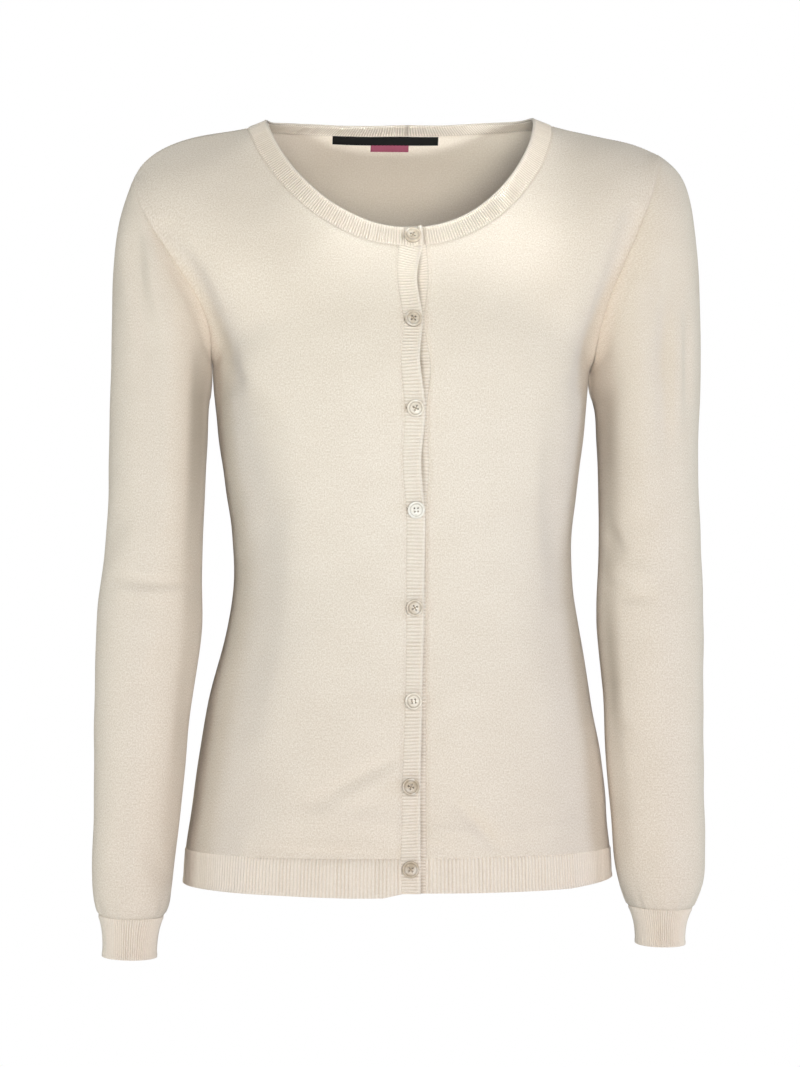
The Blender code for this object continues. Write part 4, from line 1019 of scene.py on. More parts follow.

# %% [markdown]
# ## Jersey
# Plain jersey shows columns of V stitches, the wales, that run straight up the body, here
# 1.5 mm apart with courses 1.15 mm apart. They are far too small to model one by one, so they
# are a bump: two slanting legs in each wale. The yarn is a marl, cream with a few paler and
# darker fibres, so the colour changes a little from stitch to stitch. The finish is matt, with
# the faintest sheen from the loose fibres. Where little light comes, in slits, along seams and
# on the side of a sleeve that faces the body, shade is painted into the colour.


# %% A helper for material nodes
class Recipe:
    """Builds a material from small steps."""

    def __init__(self, name, roughness):
        self.material = bpy.data.materials.new(name)
        self.material.use_nodes = True
        self.tree = self.material.node_tree
        self.shader = self.tree.nodes["Principled BSDF"]
        self.set(Roughness=roughness)

    def feed(self, socket, value):
        """Gives a socket a plain value, or a link from another node."""
        if isinstance(value, bpy.types.NodeSocket):
            self.tree.links.new(value, socket)
        else:
            socket.default_value = (*value, 1) if socket.type == "RGBA" else value

    def set(self, **values):
        for key, value in values.items():
            self.feed(self.shader.inputs[key.replace("_", " ")], value)

    def node(self, kind, inputs=(), **settings):
        made = self.tree.nodes.new(kind)
        for key, value in settings.items():
            setattr(made, key, value)
        for socket, value in dict(inputs).items():
            self.feed(made.inputs[socket], value)
        return made

    def math(self, operation, first, second=0.0, third=None):
        values = {0: first, 1: second}
        if third is not None:
            values[2] = third
        return self.node("ShaderNodeMath", values, operation=operation).outputs[0]

    def place(self):
        """Across and along the knitting, in metres, from the piece's own UV map."""
        uv = self.node("ShaderNodeUVMap", uv_map="knit").outputs[0]
        apart = self.node("ShaderNodeSeparateXYZ", {0: uv})
        return uv, apart.outputs[0], apart.outputs[1]

    def painted(self, name):
        """A value painted on the mesh, such as the painted shade."""
        return self.node("ShaderNodeAttribute", attribute_name=name).outputs["Fac"]

    def cloud(self, vector, stretch, detail=2.0, roughness=0.5):
        """Soft noise from 0 to 1, stretched in the cloth's own directions."""
        mapped = self.node("ShaderNodeMapping", {"Vector": vector, "Scale": stretch})
        made = self.node("ShaderNodeTexNoise", {"Vector": mapped.outputs[0], "Scale": 1.0,
                                                "Detail": detail, "Roughness": roughness})
        return made.outputs[0]

    def ramp(self, value, *stops):
        made = self.node("ShaderNodeValToRGB", {0: value})
        ramp = made.color_ramp
        while len(ramp.elements) < len(stops):
            ramp.elements.new(0.5)
        for element, (place, colour) in zip(ramp.elements, stops):
            element.position, element.color = place, (*colour, 1)
        return made.outputs[0]

    def mix(self, share, first, second, blend="MIX"):
        return self.node("ShaderNodeMix", {0: share, 6: first, 7: second}, data_type="RGBA",
                         blend_type=blend).outputs[2]

    def bump(self, height, distance, strength=1.0, under=None):
        inputs = {"Height": height, "Distance": distance, "Strength": strength}
        if under is not None:
            inputs["Normal"] = under
        return self.node("ShaderNodeBump", inputs).outputs[0]

    def finish(self, colour, normal=None):
        self.set(Base_Color=colour)
        if normal is not None:
            self.set(Normal=normal)
        return self.material


print("a material helper is ready")

# %% The jersey
WALE, COURSE = 0.0015, 0.00115
PALE, CREAM, DARKER = (0.860, 0.795, 0.722), (0.775, 0.695, 0.611), (0.640, 0.555, 0.460)
# SHADE is the colour of painted shade: where the mesh is marked, the cloth is painted towards it
SHADE = (0.30, 0.245, 0.185)    # the yarn deep in a slit, where no light comes
KNIT_FINISH = dict(Sheen_Weight=0.20, Sheen_Roughness=0.5, Specular_IOR_Level=0.18)


def stitch_height(recipe, across, along, wale, course):
    """Two slanting legs in each wale, repeated up the courses."""
    column = recipe.math("DIVIDE", across, wale)
    t = recipe.math("PINGPONG", column, 0.5)
    leg = recipe.math("SINE", recipe.math("MULTIPLY", t, 2 * math.pi))
    rise = recipe.math("MULTIPLY_ADD", t, -1.25, recipe.math("DIVIDE", along, course))
    loop = recipe.math("SINE", recipe.math("MULTIPLY", rise, 2 * math.pi))
    return recipe.math("MULTIPLY", leg, recipe.math("MULTIPLY_ADD", loop, 0.35, 0.65))


def between(first, second, share):
    """A colour between two, with this share of the second."""
    return tuple(a * (1 - share) + b * share for a, b in zip(first, second))


def marl(recipe, uv, calm=0.0, body=CREAM):
    """Cream yarn with paler and darker fibres, and a slow change of tone over the cloth."""
    fibre = recipe.cloud(uv, (1000.0, 800.0, 1.0), 2.0, 0.6)
    fleck = recipe.cloud(uv, (700.0, 520.0, 1.0), 1.0, 0.5)
    tone = recipe.cloud(uv, (24.0, 34.0, 1.0), 3.0, 0.6)
    base = recipe.ramp(fibre, (0.33, between(CREAM, DARKER, 0.60)), (0.50, CREAM), (0.67, PALE))
    flecked = recipe.mix(recipe.math("MULTIPLY", recipe.math("GREATER_THAN", fleck, 0.64), 0.25),
                         base, DARKER)
    calmed = recipe.mix(recipe.math("MULTIPLY_ADD", recipe.painted("inner"), 0.45, calm),
                        flecked, body)
    return recipe.mix(recipe.math("MULTIPLY_ADD", tone, 0.20, -0.05), calmed, DARKER, "MULTIPLY")


def knitted(name, wale, stitch_bump, fuzz_stretch, colour):
    """Stitches under a fine fuzz, in a colour that painted shade darkens towards SHADE."""
    recipe = Recipe(name, 0.92)
    recipe.set(**KNIT_FINISH)
    uv, across, along = recipe.place()
    stitches = stitch_height(recipe, across, along, wale, COURSE)
    fuzz = recipe.cloud(uv, fuzz_stretch, 2.0, 0.6)
    normal = recipe.bump(stitches, *stitch_bump, recipe.bump(fuzz, 0.00012, 0.35))
    tone = colour(recipe, uv, across)
    return recipe.finish(recipe.mix(recipe.painted("painted_shade"), tone, SHADE), normal)


JERSEY = knitted("cream_jersey", WALE, (0.00022, 0.55), (1500.0, 1500.0, 1.0),
                 lambda recipe, uv, across: marl(recipe, uv))
print("wales per 10 cm:", round(0.1 / WALE), "courses per 10 cm:", round(0.1 / COURSE))

# %% [markdown]
# The wales have to run up the body whatever way the cut's own rows lean. So the map is measured
# over the form: along is the way up the cloth, the steepest way at each point, and across is
# square to it. The distance is added up from point to point.


# %% The knitting's own map
def added_up(lengths, axis):
    """Running totals along an axis, from 0."""
    run = np.cumsum(lengths, axis=axis)
    return np.concatenate([np.zeros_like(np.take(run, [0], axis)), run], axis=axis)


def knit_map(points, normals, start_column):
    """Across and along in metres, added up over the cloth from one of its columns."""
    up = np.array((0.0, 0.0, 1.0)) - normals[..., 2:] * normals
    up /= np.maximum(np.linalg.norm(up, axis=-1, keepdims=True), 1e-6)
    side = np.cross(up, normals)
    side *= np.sign(side[..., :1].sum() or 1.0)

    def total(directions, axis):
        first, second = ((directions[:-1], directions[1:]) if axis == 0
                         else (directions[:, :-1], directions[:, 1:]))
        return added_up((np.diff(points, axis=axis) * (first + second) / 2).sum(axis=-1), axis)

    across, start = total(side, 1), slice(start_column, start_column + 1)
    return across - across[:, start] + total(side, 0)[:, start], total(up, 0)


print("wales across the back:", round(forms["back"].u[-1] / WALE))

# %% The fronts and the back
JERSEY_WALL, CELL = 0.0009, 0.0030


def edge_fall(away, reach=0.0014, depth=0.00045):
    """Cloth turns in a little where it is linked to the next piece."""
    return -depth * hump(away, reach)


def draped(points, normals, group="body"):
    """The folds and the slow unevenness together."""
    return fold_height(points, normals, group) + unevenness(points)


def panel_relief(form):
    def relief(points, normals, v, u):
        edges = np.minimum(u - form.u[0], form.u[-1] - u)
        return draped(points, normals) + edge_fall(edges) + edge_fall(form.v[-1] - v)
    return relief


def panel(name, edges, middle):
    """A front or the back; its wales are counted from a share of the way across."""
    form = forms[name]
    u_line = steps(form.u[0], form.u[-1], CELL)
    start_column = int(len(u_line) * middle)
    cloth = lay(name + "_jersey", form, steps(form.v[1], form.v[-1], CELL), u_line,
                panel_relief(form), JERSEY_WALL,
                lambda points, normals, v, u: knit_map(points, normals, start_column),
                tuck=edges)
    dressed(cloth, name, JERSEY)


panel("front_right", ("foot", "head", "start", "end"), 0)
panel("front_left", ("foot", "head", "start", "end"), 0)
panel("back", ("foot", "head"), 0.5)

# %% [markdown]
# ## Sleeves
# A sleeve is knitted flat and sewn along its underside, so it is a tube with one seam. Its last
# rounds are drawn in by the cuff: they blouse over it in small gathers, no two alike. The side
# of a sleeve that faces the body lies in its shade, more so under the arm, so that side is
# painted a little darker.

# %% A sleeve's relief and its knitting
GATHER_HEIGHT, GATHER_REACH = 0.00042, 0.014
GATHERS = [(13, 1.0, 0.4), (19, 0.7, 1.9), (29, 0.6, 0.8)]  # waves round, share, shift


def sleeve_relief(form, group):
    cuff_v = form.v[-3]

    def relief(points, normals, v, u):
        round_way = 2 * math.pi * u / form.u[-1]
        gathers = sum(share * np.cos(waves * round_way + shift) for waves, share, shift in GATHERS)
        near = hump(cuff_v - v, GATHER_REACH) * smooth_step(0.0, 0.003, cuff_v - v)
        seam = np.minimum(u, form.u[-1] - u)
        return (draped(points, normals, group) + GATHER_HEIGHT * gathers * near + edge_fall(v)
                + edge_fall(cuff_v - v) + edge_fall(seam, 0.0012, 0.0003))
    return relief


def tube_map(points, normals, v, u):
    """Metres round the tube and up it, added up over the cloth."""
    around, down = (added_up(np.linalg.norm(np.diff(points, axis=axis), axis=-1), axis)
                    for axis in (1, 0))
    middle = around.shape[1] // 2
    return around - around[:, middle:middle + 1], down[-1:] - down


print("gathers over a cuff:", [waves for waves, _, _ in GATHERS])

# %% The sleeves
# how much the side towards the body is shaded: height, right sleeve, left sleeve
INNER_SHADE = [(-0.1850, 0.30, 0.10), (-0.2120, 0.60, 0.32), (-0.2420, 0.62, 0.44),
               (-0.2725, 0.46, 0.36), (-0.3030, 0.28, 0.29), (-0.3330, 0.15, 0.28),
               (-0.3630, 0.12, 0.26), (-0.3940, 0.06, 0.46), (-0.4240, 0.03, 0.50),
               (-0.4540, 0.06, 0.28), (-0.4850, 0.03, 0.00), (-0.5150, 0.00, 0.00)]


def by_height(table, column, heights):
    """A column of a table of heights, read at many heights at once."""
    rows = sorted(table)
    return np.interp(heights, [row[0] for row in rows], [row[column] for row in rows])


INNER_FROM = {"right": 0.58, "left": 0.70}  # how far the cloth faces the body where that starts


def beside_body(side_name):
    start = INNER_FROM[side_name]

    def shade(points, normals, v, u):
        inward = -SIDES[side_name] * normals[..., 0]
        near = smooth_step(start, start + 0.22, inward)
        near *= 1 - 0.55 * smooth_step(0.90, 0.99, inward)
        return near * by_height(INNER_SHADE, COLUMN[side_name], points[..., 2])
    return shade


for side_name in SIDES:
    name = "sleeve_" + side_name
    form = forms[name]
    cloth = lay(name + "_jersey", form, steps(form.v[0], form.v[-3], CELL),
                steps(0, form.u[-1], CELL), sleeve_relief(form, name), JERSEY_WALL,
                tube_map, tuck=("foot", "head"), shade=beside_body(side_name))
    dressed(cloth, name, JERSEY)

# %% [markdown]
# ## One-by-one rib
# In one-by-one rib each knit wale stands beside a purl wale that sinks back, so the edge draws in
# and stretches. The ribs are real relief here: six points across each rib. Round the hem and the
# cuffs they run up the body, about 2 mm apart. The two front bands and the neckband are
# knitted as long strips, so their ribs run across the strip, a little wider apart on the fronts,
# and the strip ends in two plain courses that roll into a smooth round edge.

# %% Places of the ribs
RIB_WALL, RIB_DEPTH, RIB_SAMPLES, RIB_CELL = 0.0013, 0.00085, 6, 0.0017
HEM_PITCH, CUFF_PITCH, NECK_PITCH = 0.00205, 0.00204, 0.00203
# distance from the hem along a front band, and the pitch there
BAND_PITCH = [(0.0, 0.00228), (0.05, 0.00236), (0.16, 0.00262), (0.30, 0.00262), (0.40, 0.00240),
              (0.481, 0.00226)]
ROLL_WIDTH, ROLL_RISE = 0.0022, 0.00090


class Ribs:
    """Where ribs fall along a line whose pitch may change, a whole number of them in all."""

    def __init__(self, length, pitches):
        places, sizes = zip(*pitches)
        self.fine = np.linspace(0, length, 4001)
        rate = 1 / np.interp(self.fine, places, sizes)
        phase = np.concatenate([[0], np.cumsum((rate[1:] + rate[:-1]) / 2 * np.diff(self.fine))])
        self.count = round(phase[-1])
        self.phase = phase * self.count / phase[-1]
        stops = np.arange(RIB_SAMPLES * self.count + 1) / RIB_SAMPLES
        self.line = np.interp(stops, self.phase, self.fine)

    def at(self, u):
        """How many ribs lie before a place, past both ends too."""
        past = np.maximum(u - self.fine[-1], 0) + np.minimum(u, 0)
        return np.interp(u, self.fine, self.phase) + past * self.count / self.fine[-1]

    def height(self, phase):
        """Round knit wales with narrow valleys, none quite like the next."""
        number = np.rint(phase) % self.count
        unequal = 1 + 0.15 * np.sin(2.4 * number) + 0.12 * np.sin(5.1 * number + 1)
        return RIB_DEPTH * unequal * ((0.5 + 0.5 * np.cos(2 * math.pi * phase)) ** 0.7 - 0.55)


def even_ribs(length, pitch):
    return Ribs(length, [(0, pitch), (length, pitch)])


def between_ribs(phase):
    """1 in the valley between two ribs, 0 on them."""
    return np.abs(2 * (phase - np.rint(phase))) ** 3


print("ribs of the back's hem:", even_ribs(forms["back"].u[-1], HEM_PITCH).count)

# %% The rib's material
# the second colour is painted shade: between two ribs, where shade falls, the rib is painted
# darker
CREST, VALLEY_PAINTED_SHADE = (0.840, 0.770, 0.700), (0.645, 0.570, 0.485)  # on a rib, and between two ribs


def ribbed_tone(recipe, uv, across):
    """The marl on the ribs, and painted shade that darkens it between them. Its map counts ribs,
    not metres.
    """
    beside = recipe.math("PINGPONG", across, 0.5)
    valley = recipe.math("POWER", recipe.math("MULTIPLY", beside, 2.0), 2.5)
    metres = recipe.node("ShaderNodeMapping", {"Vector": uv, "Scale": (HEM_PITCH, 1.0, 1.0)})
    crest = marl(recipe, metres.outputs[0], 0.6, CREST)
    return recipe.mix(recipe.math("MULTIPLY", valley, 0.70), crest, VALLEY_PAINTED_SHADE)


RIB = knitted("cream_rib", 1.0, (0.00018, 0.5), (3.0, 1500.0, 1.0), ribbed_tone)
print("made", RIB.name)

# %% [markdown]
# ## Hem
# The hem's ribbing starts with a row of plump stitches, where the rib needles hand over to the
# plain ones. The ribs stay upright. Along its lower edge the hem is never dead straight: on the
# right front it hangs 3 mm lower than the band's end and steps up just before it.

# %% The hem's three ribs
HEM_DROP = {  # across, how much lower the edge hangs there
    "hem_rib_front_right": [(-0.17, 0.0010), (-0.10, 0.0020), (-0.045, 0.0032), (-0.022, 0.0030),
                            (-0.010, 0.0004)],
    "hem_rib_front_left": [(0.005, 0.0000), (0.05, 0.0004), (0.12, 0.0004), (0.145, -0.0016),
                           (0.17, -0.0044)],
    "hem_rib_back": [(-0.17, 0.0006), (-0.05, 0.0014), (0.06, 0.0008), (0.14, -0.0008),
                     (0.17, -0.0040)],
}
START_ROW, START_REACH, START_RISE = 0.0011, 0.0007, 0.0003
HEM_CURL, HEM_CURL_REACH = 0.0007, 0.0022


def rib_relief(ribs, u, from_start, from_edge, plump, curl, reach):
    """Ribs with a plump row where they start, sinking into an edge that curls out."""
    start = hump(from_start - START_ROW, START_REACH)
    rolled = smooth_step(0.0, 0.0012, from_edge)
    return (ribs.height(ribs.at(u)) * (0.35 + 0.65 * rolled) * (1 + plump * start)
            + START_RISE * start + curl * hump(from_edge, reach)
            + edge_fall(from_start, 0.0007, 0.0004))


def hem_rib(name, panel_name):
    form = forms[panel_name]
    ribs = even_ribs(form.u[-1], HEM_PITCH)
    top = form.v[1]

    def relief(points, normals, v, u):
        return (draped(points, normals)
                + rib_relief(ribs, u, top - v, v, 0.5, HEM_CURL, HEM_CURL_REACH)
                + edge_fall(np.minimum(u, form.u[-1] - u)))

    def drop(points, v):
        across, lower = zip(*HEM_DROP[name])
        return np.interp(points[..., 0], across, lower) * (1 - v / top)

    cloth = lay(name + "_knit", form, steps(0, top, RIB_CELL), ribs.line, relief, RIB_WALL,
                lambda points, normals, v, u: (ribs.at(u), v), drop=drop,
                tuck=() if panel_name == "back" else ("start", "end"))
    dressed(cloth, name, RIB)


for name in HEM_DROP:
    hem_rib(name, name.replace("hem_rib_", ""))

# %% [markdown]
# ## Cuffs
# A cuff is 25 mm of the same rib, drawn in until it is narrower than the sleeve. Its ribs lean
# a little as the cuff turns with the arm, and its edge flares by half a millimetre.

# %% The two cuffs
CUFF_CURL, CUFF_CURL_REACH = 0.0006, 0.0025


def round_length(form, v):
    ring = form.points([v], np.linspace(0, form.u[-1], 400))[0]
    return float(np.linalg.norm(np.diff(ring, axis=0), axis=1).sum())


def cuff(side_name):
    name, form = "cuff_" + side_name, forms["sleeve_" + side_name]
    top, bottom = form.v[-3], form.v[-1]
    around = round_length(form, form.v[-2])
    ribs = even_ribs(form.u[-1], form.u[-1] / round(around / CUFF_PITCH))

    def relief(points, normals, v, u):
        return unevenness(points) + rib_relief(ribs, u, v - top, bottom - v, 0.0, CUFF_CURL,
                                               CUFF_CURL_REACH)

    cloth = lay(name + "_knit", form, steps(top, bottom, RIB_CELL), ribs.line, relief, RIB_WALL,
                lambda points, normals, v, u: (ribs.at(u), -v))
    print(side_name, "cuff:", round(1000 * around), "mm round,", ribs.count, "ribs")
    dressed(cloth, name, RIB)


for side_name in SIDES:
    cuff(side_name)

# %% [markdown]
# ## Front bands
# The upper band carries the buttonholes and the lower one the buttons. Between the buttons the
# upper band stands off a little and its edge throws a shade on the band below, which is also
# painted on it. Each buttonhole is a slit across the band: the cloth dips along it, shade is
# painted in the slit, and the button stands over its inner half.

# %% How the bands lie
# height, how much lower a rib of the upper band ends than it starts, and of the lower band
RIB_SLANT = [(-0.5745, 0.0004, 0.0004), (-0.5300, -0.0012, -0.0006), (-0.4960, 0.0004, 0.0003),
             (-0.4650, -0.0008, -0.0005), (-0.4348, 0.0005, 0.0004), (-0.3675, -0.0003, -0.0004),
             (-0.3300, 0.0006, 0.0005), (-0.2955, 0.0000, 0.0000), (-0.2590, -0.0012, -0.0008),
             (-0.2230, 0.0008, 0.0010), (-0.1900, -0.0014, -0.0002), (-0.1576, 0.0012, 0.0022),
             (-0.1430, -0.0016, 0.0010), (-0.1270, 0.0006, 0.0000), (-0.1170, 0.0052, 0.0050),
             (-0.1025, 0.0066, 0.0066)]
# height, how far the upper band's free edge stands off the lower band
GAPE = [(-0.5745, 0.0012), (-0.5565, 0.0), (-0.5280, 0.0008), (-0.4967, 0.0), (-0.4660, 0.0009),
        (-0.4349, 0.0), (-0.4010, 0.0006), (-0.3672, 0.0), (-0.3310, 0.0007), (-0.2954, 0.0),
        (-0.2560, 0.0016), (-0.2222, 0.0), (-0.1890, 0.0019), (-0.1578, 0.0), (-0.1290, 0.0021),
        (-0.1025, 0.0004)]
print("the upper band stands off by up to", 1000 * max(gape for _, gape in GAPE), "mm")

# %% A rolled edge and the buttonholes
# HOLE_SHADE is painted shade in a buttonhole's slit and where it gapes beside the button
HOLE_LENGTH, HOLE_SHIFT, HOLE_DEPTH, HOLE_SHADE = 0.0142, -0.0010, 0.0012, 0.75


def roll(away, width=ROLL_WIDTH):
    """Rise of a rolled edge, from the distance to the free edge, with a groove behind it."""
    t = np.clip((away - width / 2) / (width / 2), -1, 1)
    groove = 0.35 * hump(away - width * 1.12, 0.0006)
    return ROLL_RISE * (np.sqrt(1 - t * t * 0.98) - groove)


def buttonhole(points):
    """1 in the slit of a buttonhole, and where it gapes beside the button."""
    total = np.zeros(points.shape[:-1])
    for across, height in BUTTONS:
        x, z = points[..., 0] - across - HOLE_SHIFT, points[..., 2] - height
        slit = hump(z, 0.0006) * smooth_step(0.5, 0.46, np.abs(x) / HOLE_LENGTH)
        gape = np.exp(-(((x + 0.44 * HOLE_LENGTH) / 0.0010) ** 2 + (z / 0.0030) ** 4))
        total = np.maximum(total, np.maximum(slit, 0.9 * gape))
    return total


print("buttonholes:", len(BUTTONS), "each", 1000 * HOLE_LENGTH, "mm long")

# %% The two bands
LINK_SHADE, LINK_REACH, RIB_SHADE = 0.38, 0.0007, 0.14
LAP_SHADE, LAP_REACH, LAP_PER_GAPE = 0.18, 0.0014, 300  # beside the upper band's free edge


def front_band(name, over):
    form = forms[name]
    ribs = Ribs(form.u[-1], BAND_PITCH)
    seam = form.v[-1]

    def phase(points, v, u):
        slant = by_height(RIB_SLANT, 1 if over else 2, points[..., 2])
        return ribs.at(u + slant * (1 - v / seam))

    def relief(points, normals, v, u):
        ribbed = smooth_step(ROLL_WIDTH * 0.85, ROLL_WIDTH * 1.20, v)
        ribbed *= smooth_step(0.0004, 0.0012, seam - v)
        ends = edge_fall(u, 0.0010, 0.0004) + edge_fall(form.u[-1] - u, 0.0008, 0.0004)
        lift = by_height(GAPE, 1, points[..., 2]) * np.clip(1 - v / seam, 0, 1) ** 1.3
        return (draped(points, normals) + ribs.height(phase(points, v, u)) * ribbed
                + roll(v) - ROLL_RISE / 2 + edge_fall(seam - v, 0.0009, 0.0005) + ends
                + (lift - HOLE_DEPTH * buttonhole(points) if over else -0.4 * lift))

    # painted shade: a dark line along the linked seam and between the ribs, each buttonhole's slit
    # and gape on the upper band, and on the lower band a shadow beside the upper band's free edge,
    # deeper where it stands off
    def shade(points, normals, v, u):
        linked = (LINK_SHADE * hump(seam - v, LINK_REACH)
                  + RIB_SHADE * between_ribs(phase(points, v, u)) * (v > ROLL_WIDTH))
        if over:
            return np.maximum(HOLE_SHADE * buttonhole(points), linked)
        heights = points[..., 2]
        beside = hump(points[..., 0] - by_height(FRONT_EDGE, OVER_EDGE, heights) - 0.0007,
                      LAP_REACH)
        gape = by_height(GAPE, 1, heights)
        return np.maximum(beside * (LAP_SHADE + LAP_PER_GAPE * gape), linked)

    cloth = lay(name + "_knit", form, steps(0, seam, 0.0008), ribs.line, relief, RIB_WALL,
                lambda points, normals, v, u: (phase(points, v, u), v), tuck=("head",),
                shade=shade)
    print("ribs along the band:", ribs.count)
    dressed(cloth, name, RIB)


front_band("buttonhole_band", over=True)
front_band("button_band", over=False)

# %% [markdown]
# ## Neckband
# One strip goes round the whole neck, from the free edge of the upper band to the free edge of
# the lower one, with its rolled edge inwards. Shade is painted between its ribs, more on the
# sides, along its seam, in the groove behind the roll at its upper end, and under that end.

# %% The neckband
END_ROLL, END_LIFT, END_LIFT_REACH = 0.0030, 0.0010, 0.016
SIDE_SHADE, THROAT_SHADE = 0.32, 0.16  # between the ribs: what the sides have more, and all over
TURN_SHADE, UNDER_SHADE = 0.40, 0.55   # behind the turned roll, and under the upper end


def make_neckband():
    form = forms["neckband"]
    ribs = even_ribs(form.u[-1], NECK_PITCH)
    rim = form.v[-1]

    def relief(points, normals, v, u):
        ribbed = smooth_step(ROLL_WIDTH * 0.85, ROLL_WIDTH * 1.15, rim - v)
        ribbed *= smooth_step(0.0006, 0.0014, v)
        ends = np.minimum(u, form.u[-1] - u)
        lift = END_LIFT * np.clip(1 - u / END_LIFT_REACH, 0, 1)
        return (draped(points, normals)
                + ribs.height(ribs.at(u)) * ribbed * smooth_step(0.0028, 0.0036, ends)
                + np.maximum(roll(rim - v), 1.5 * roll(ends, END_ROLL)) - ROLL_RISE / 2 + lift
                + edge_fall(v, 0.0009, 0.0005) - HOLE_DEPTH * slit(points, u))

    def slit(points, u):
        return buttonhole(points) * (u < 0.03)

    # painted shade: between the ribs, along the seam, behind the end's roll and under the upper
    # end
    def shade(points, normals, v, u):
        valley = between_ribs(ribs.at(u))
        outer = smooth_step(ROLL_WIDTH * 0.8, ROLL_WIDTH * 1.3, rim - v)
        outer *= THROAT_SHADE + SIDE_SHADE * smooth_step(0.015, 0.080,
                                                         np.minimum(u, form.u[-1] - u))
        seam = hump(v, 0.0006) * (0.25 + 0.20 * valley)
        groove = TURN_SHADE * hump(u - END_ROLL - 0.0006, 0.0006)
        under = UNDER_SHADE * hump(points[..., 0] - NECKBAND_OVER_END - 0.0014, 0.0017)
        ends = np.maximum(groove, under * (u > form.u[-1] / 2))
        return np.max([HOLE_SHADE * slit(points, u), valley * outer, seam, ends], axis=0)

    cloth = lay("neckband_knit", form, steps(0, rim, 0.0012), ribs.line, relief, RIB_WALL,
                lambda points, normals, v, u: (ribs.at(u), v), shade=shade)
    print("ribs round the neck:", ribs.count)
    dressed(cloth, "neckband", RIB)


make_neckband()

# %% [markdown]
# ## Linking stitches
# The bands, the neckband and the sleeves are linked on, loop by loop, and the linking shows as a
# row of small plump stitches along each seam. One stitch is a small sphere drawn out to a grain
# of rice. It is copied along each seam at a steady pace, with a slight turn of its own, and the
# copies of one seam are joined into one piece of sewing.

# %% One stitch, and its thread
deselect()
bpy.ops.mesh.primitive_uv_sphere_add(segments=6, ring_count=4, radius=0.5)
STITCH = bpy.context.object
STITCH.name = "stitch"
bpy.ops.object.mode_set(mode="EDIT")
bpy.ops.mesh.select_all(action="SELECT")
bpy.ops.transform.resize(value=(1.0, 0.46, 0.40))
bpy.ops.object.mode_set(mode="OBJECT")
bpy.ops.object.shade_smooth()


def thread_material(name, dark, light):
    recipe = Recipe(name, 0.85)
    recipe.set(Sheen_Weight=0.08, Specular_IOR_Level=0.25)
    place = recipe.node("ShaderNodeTexCoord").outputs["Object"]
    fibre = recipe.cloud(place, (900.0, 900.0, 900.0))
    return recipe.finish(recipe.ramp(fibre, (0.35, dark), (0.65, light)))


THREAD = thread_material("cream_thread", CREAM, PALE)
BUTTON_THREAD = thread_material("taupe_thread", (0.30, 0.235, 0.17), (0.46, 0.38, 0.29))
print("faces of one stitch:", len(STITCH.data.polygons))


# %% A row of stitches
def frame_matrix(point, way, normal):
    """Place and turn of a stitch: long along way, flat against the cloth."""
    x = Vector(way).normalized()
    z = (Vector(normal) - x * x.dot(Vector(normal))).normalized()
    y = z.cross(x)
    matrix = Matrix((x, y, z)).transposed().to_4x4()
    matrix.translation = Vector(point)
    return matrix


LEAN_CHANGE, SIZE_CHANGE = 0.10, 0.10


def stitch_row(name, places, size, lean=0.0, thread=THREAD):
    """Copies of the stitch at places, each a point, a direction and a normal, joined."""
    copies = []
    for number, (point, way, normal) in enumerate(places):
        copy = bpy.data.objects.new(name, STITCH.data.copy())
        turn = Matrix.Rotation(lean + LEAN_CHANGE * math.sin(2.1 * number), 4, "Z")
        growth = 1 + SIZE_CHANGE * math.sin(3.7 * number + 1)
        scale = Matrix.Diagonal((*(part * growth for part in size), 1))
        copy.data.transform(frame_matrix(point, way, normal) @ turn @ scale)
        bpy.context.collection.objects.link(copy)
        copies.append(copy)
    deselect()
    for copy in copies:
        copy.select_set(True)
    bpy.context.view_layer.objects.active = copies[0]
    bpy.ops.object.join()
    row = bpy.context.object
    row.name = row.data.name = name
    row.data.materials.append(thread)
    return row


print("a stitch leans by up to", round(math.degrees(LEAN_CHANGE)), "degrees by itself")


# %% Stitches along a seam
def seam_places(form, v_ends, u_ends, pace, group, height):
    """Steady places along a line on a form, with directions and normals, on its folds too."""
    fine = np.linspace(0, 1, 500)
    v = v_ends[0] + (v_ends[1] - v_ends[0]) * fine
    u = u_ends[0] + (u_ends[1] - u_ends[0]) * fine
    track = form.points(v, u, table=False)
    run = np.concatenate([[0], np.cumsum(np.linalg.norm(np.diff(track, axis=0), axis=1))])
    share = np.interp(np.arange(pace / 2, run[-1], pace), run, fine)
    v, u = (ends[0] + (ends[1] - ends[0]) * share for ends in (v_ends, u_ends))
    points, normals = form.surface(v, u, table=False)
    normals = shared(points, normals)
    points = points + normals * (draped(points, normals, group) + height)[:, None]
    return list(zip(points, np.gradient(points, axis=0), normals))


def sew(name, form, v_ends, u_ends, pace, group, height, size, lean=0.0):
    """One seam's stitches. They stand this high on the cloth, and ride with it."""
    row = stitch_row(name, seam_places(form, v_ends, u_ends, pace, group, height), size, lean)
    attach(row, "root")
    return row


print("round the top of a sleeve in mm:", round(1000 * forms["sleeve_right"].u[-1]))

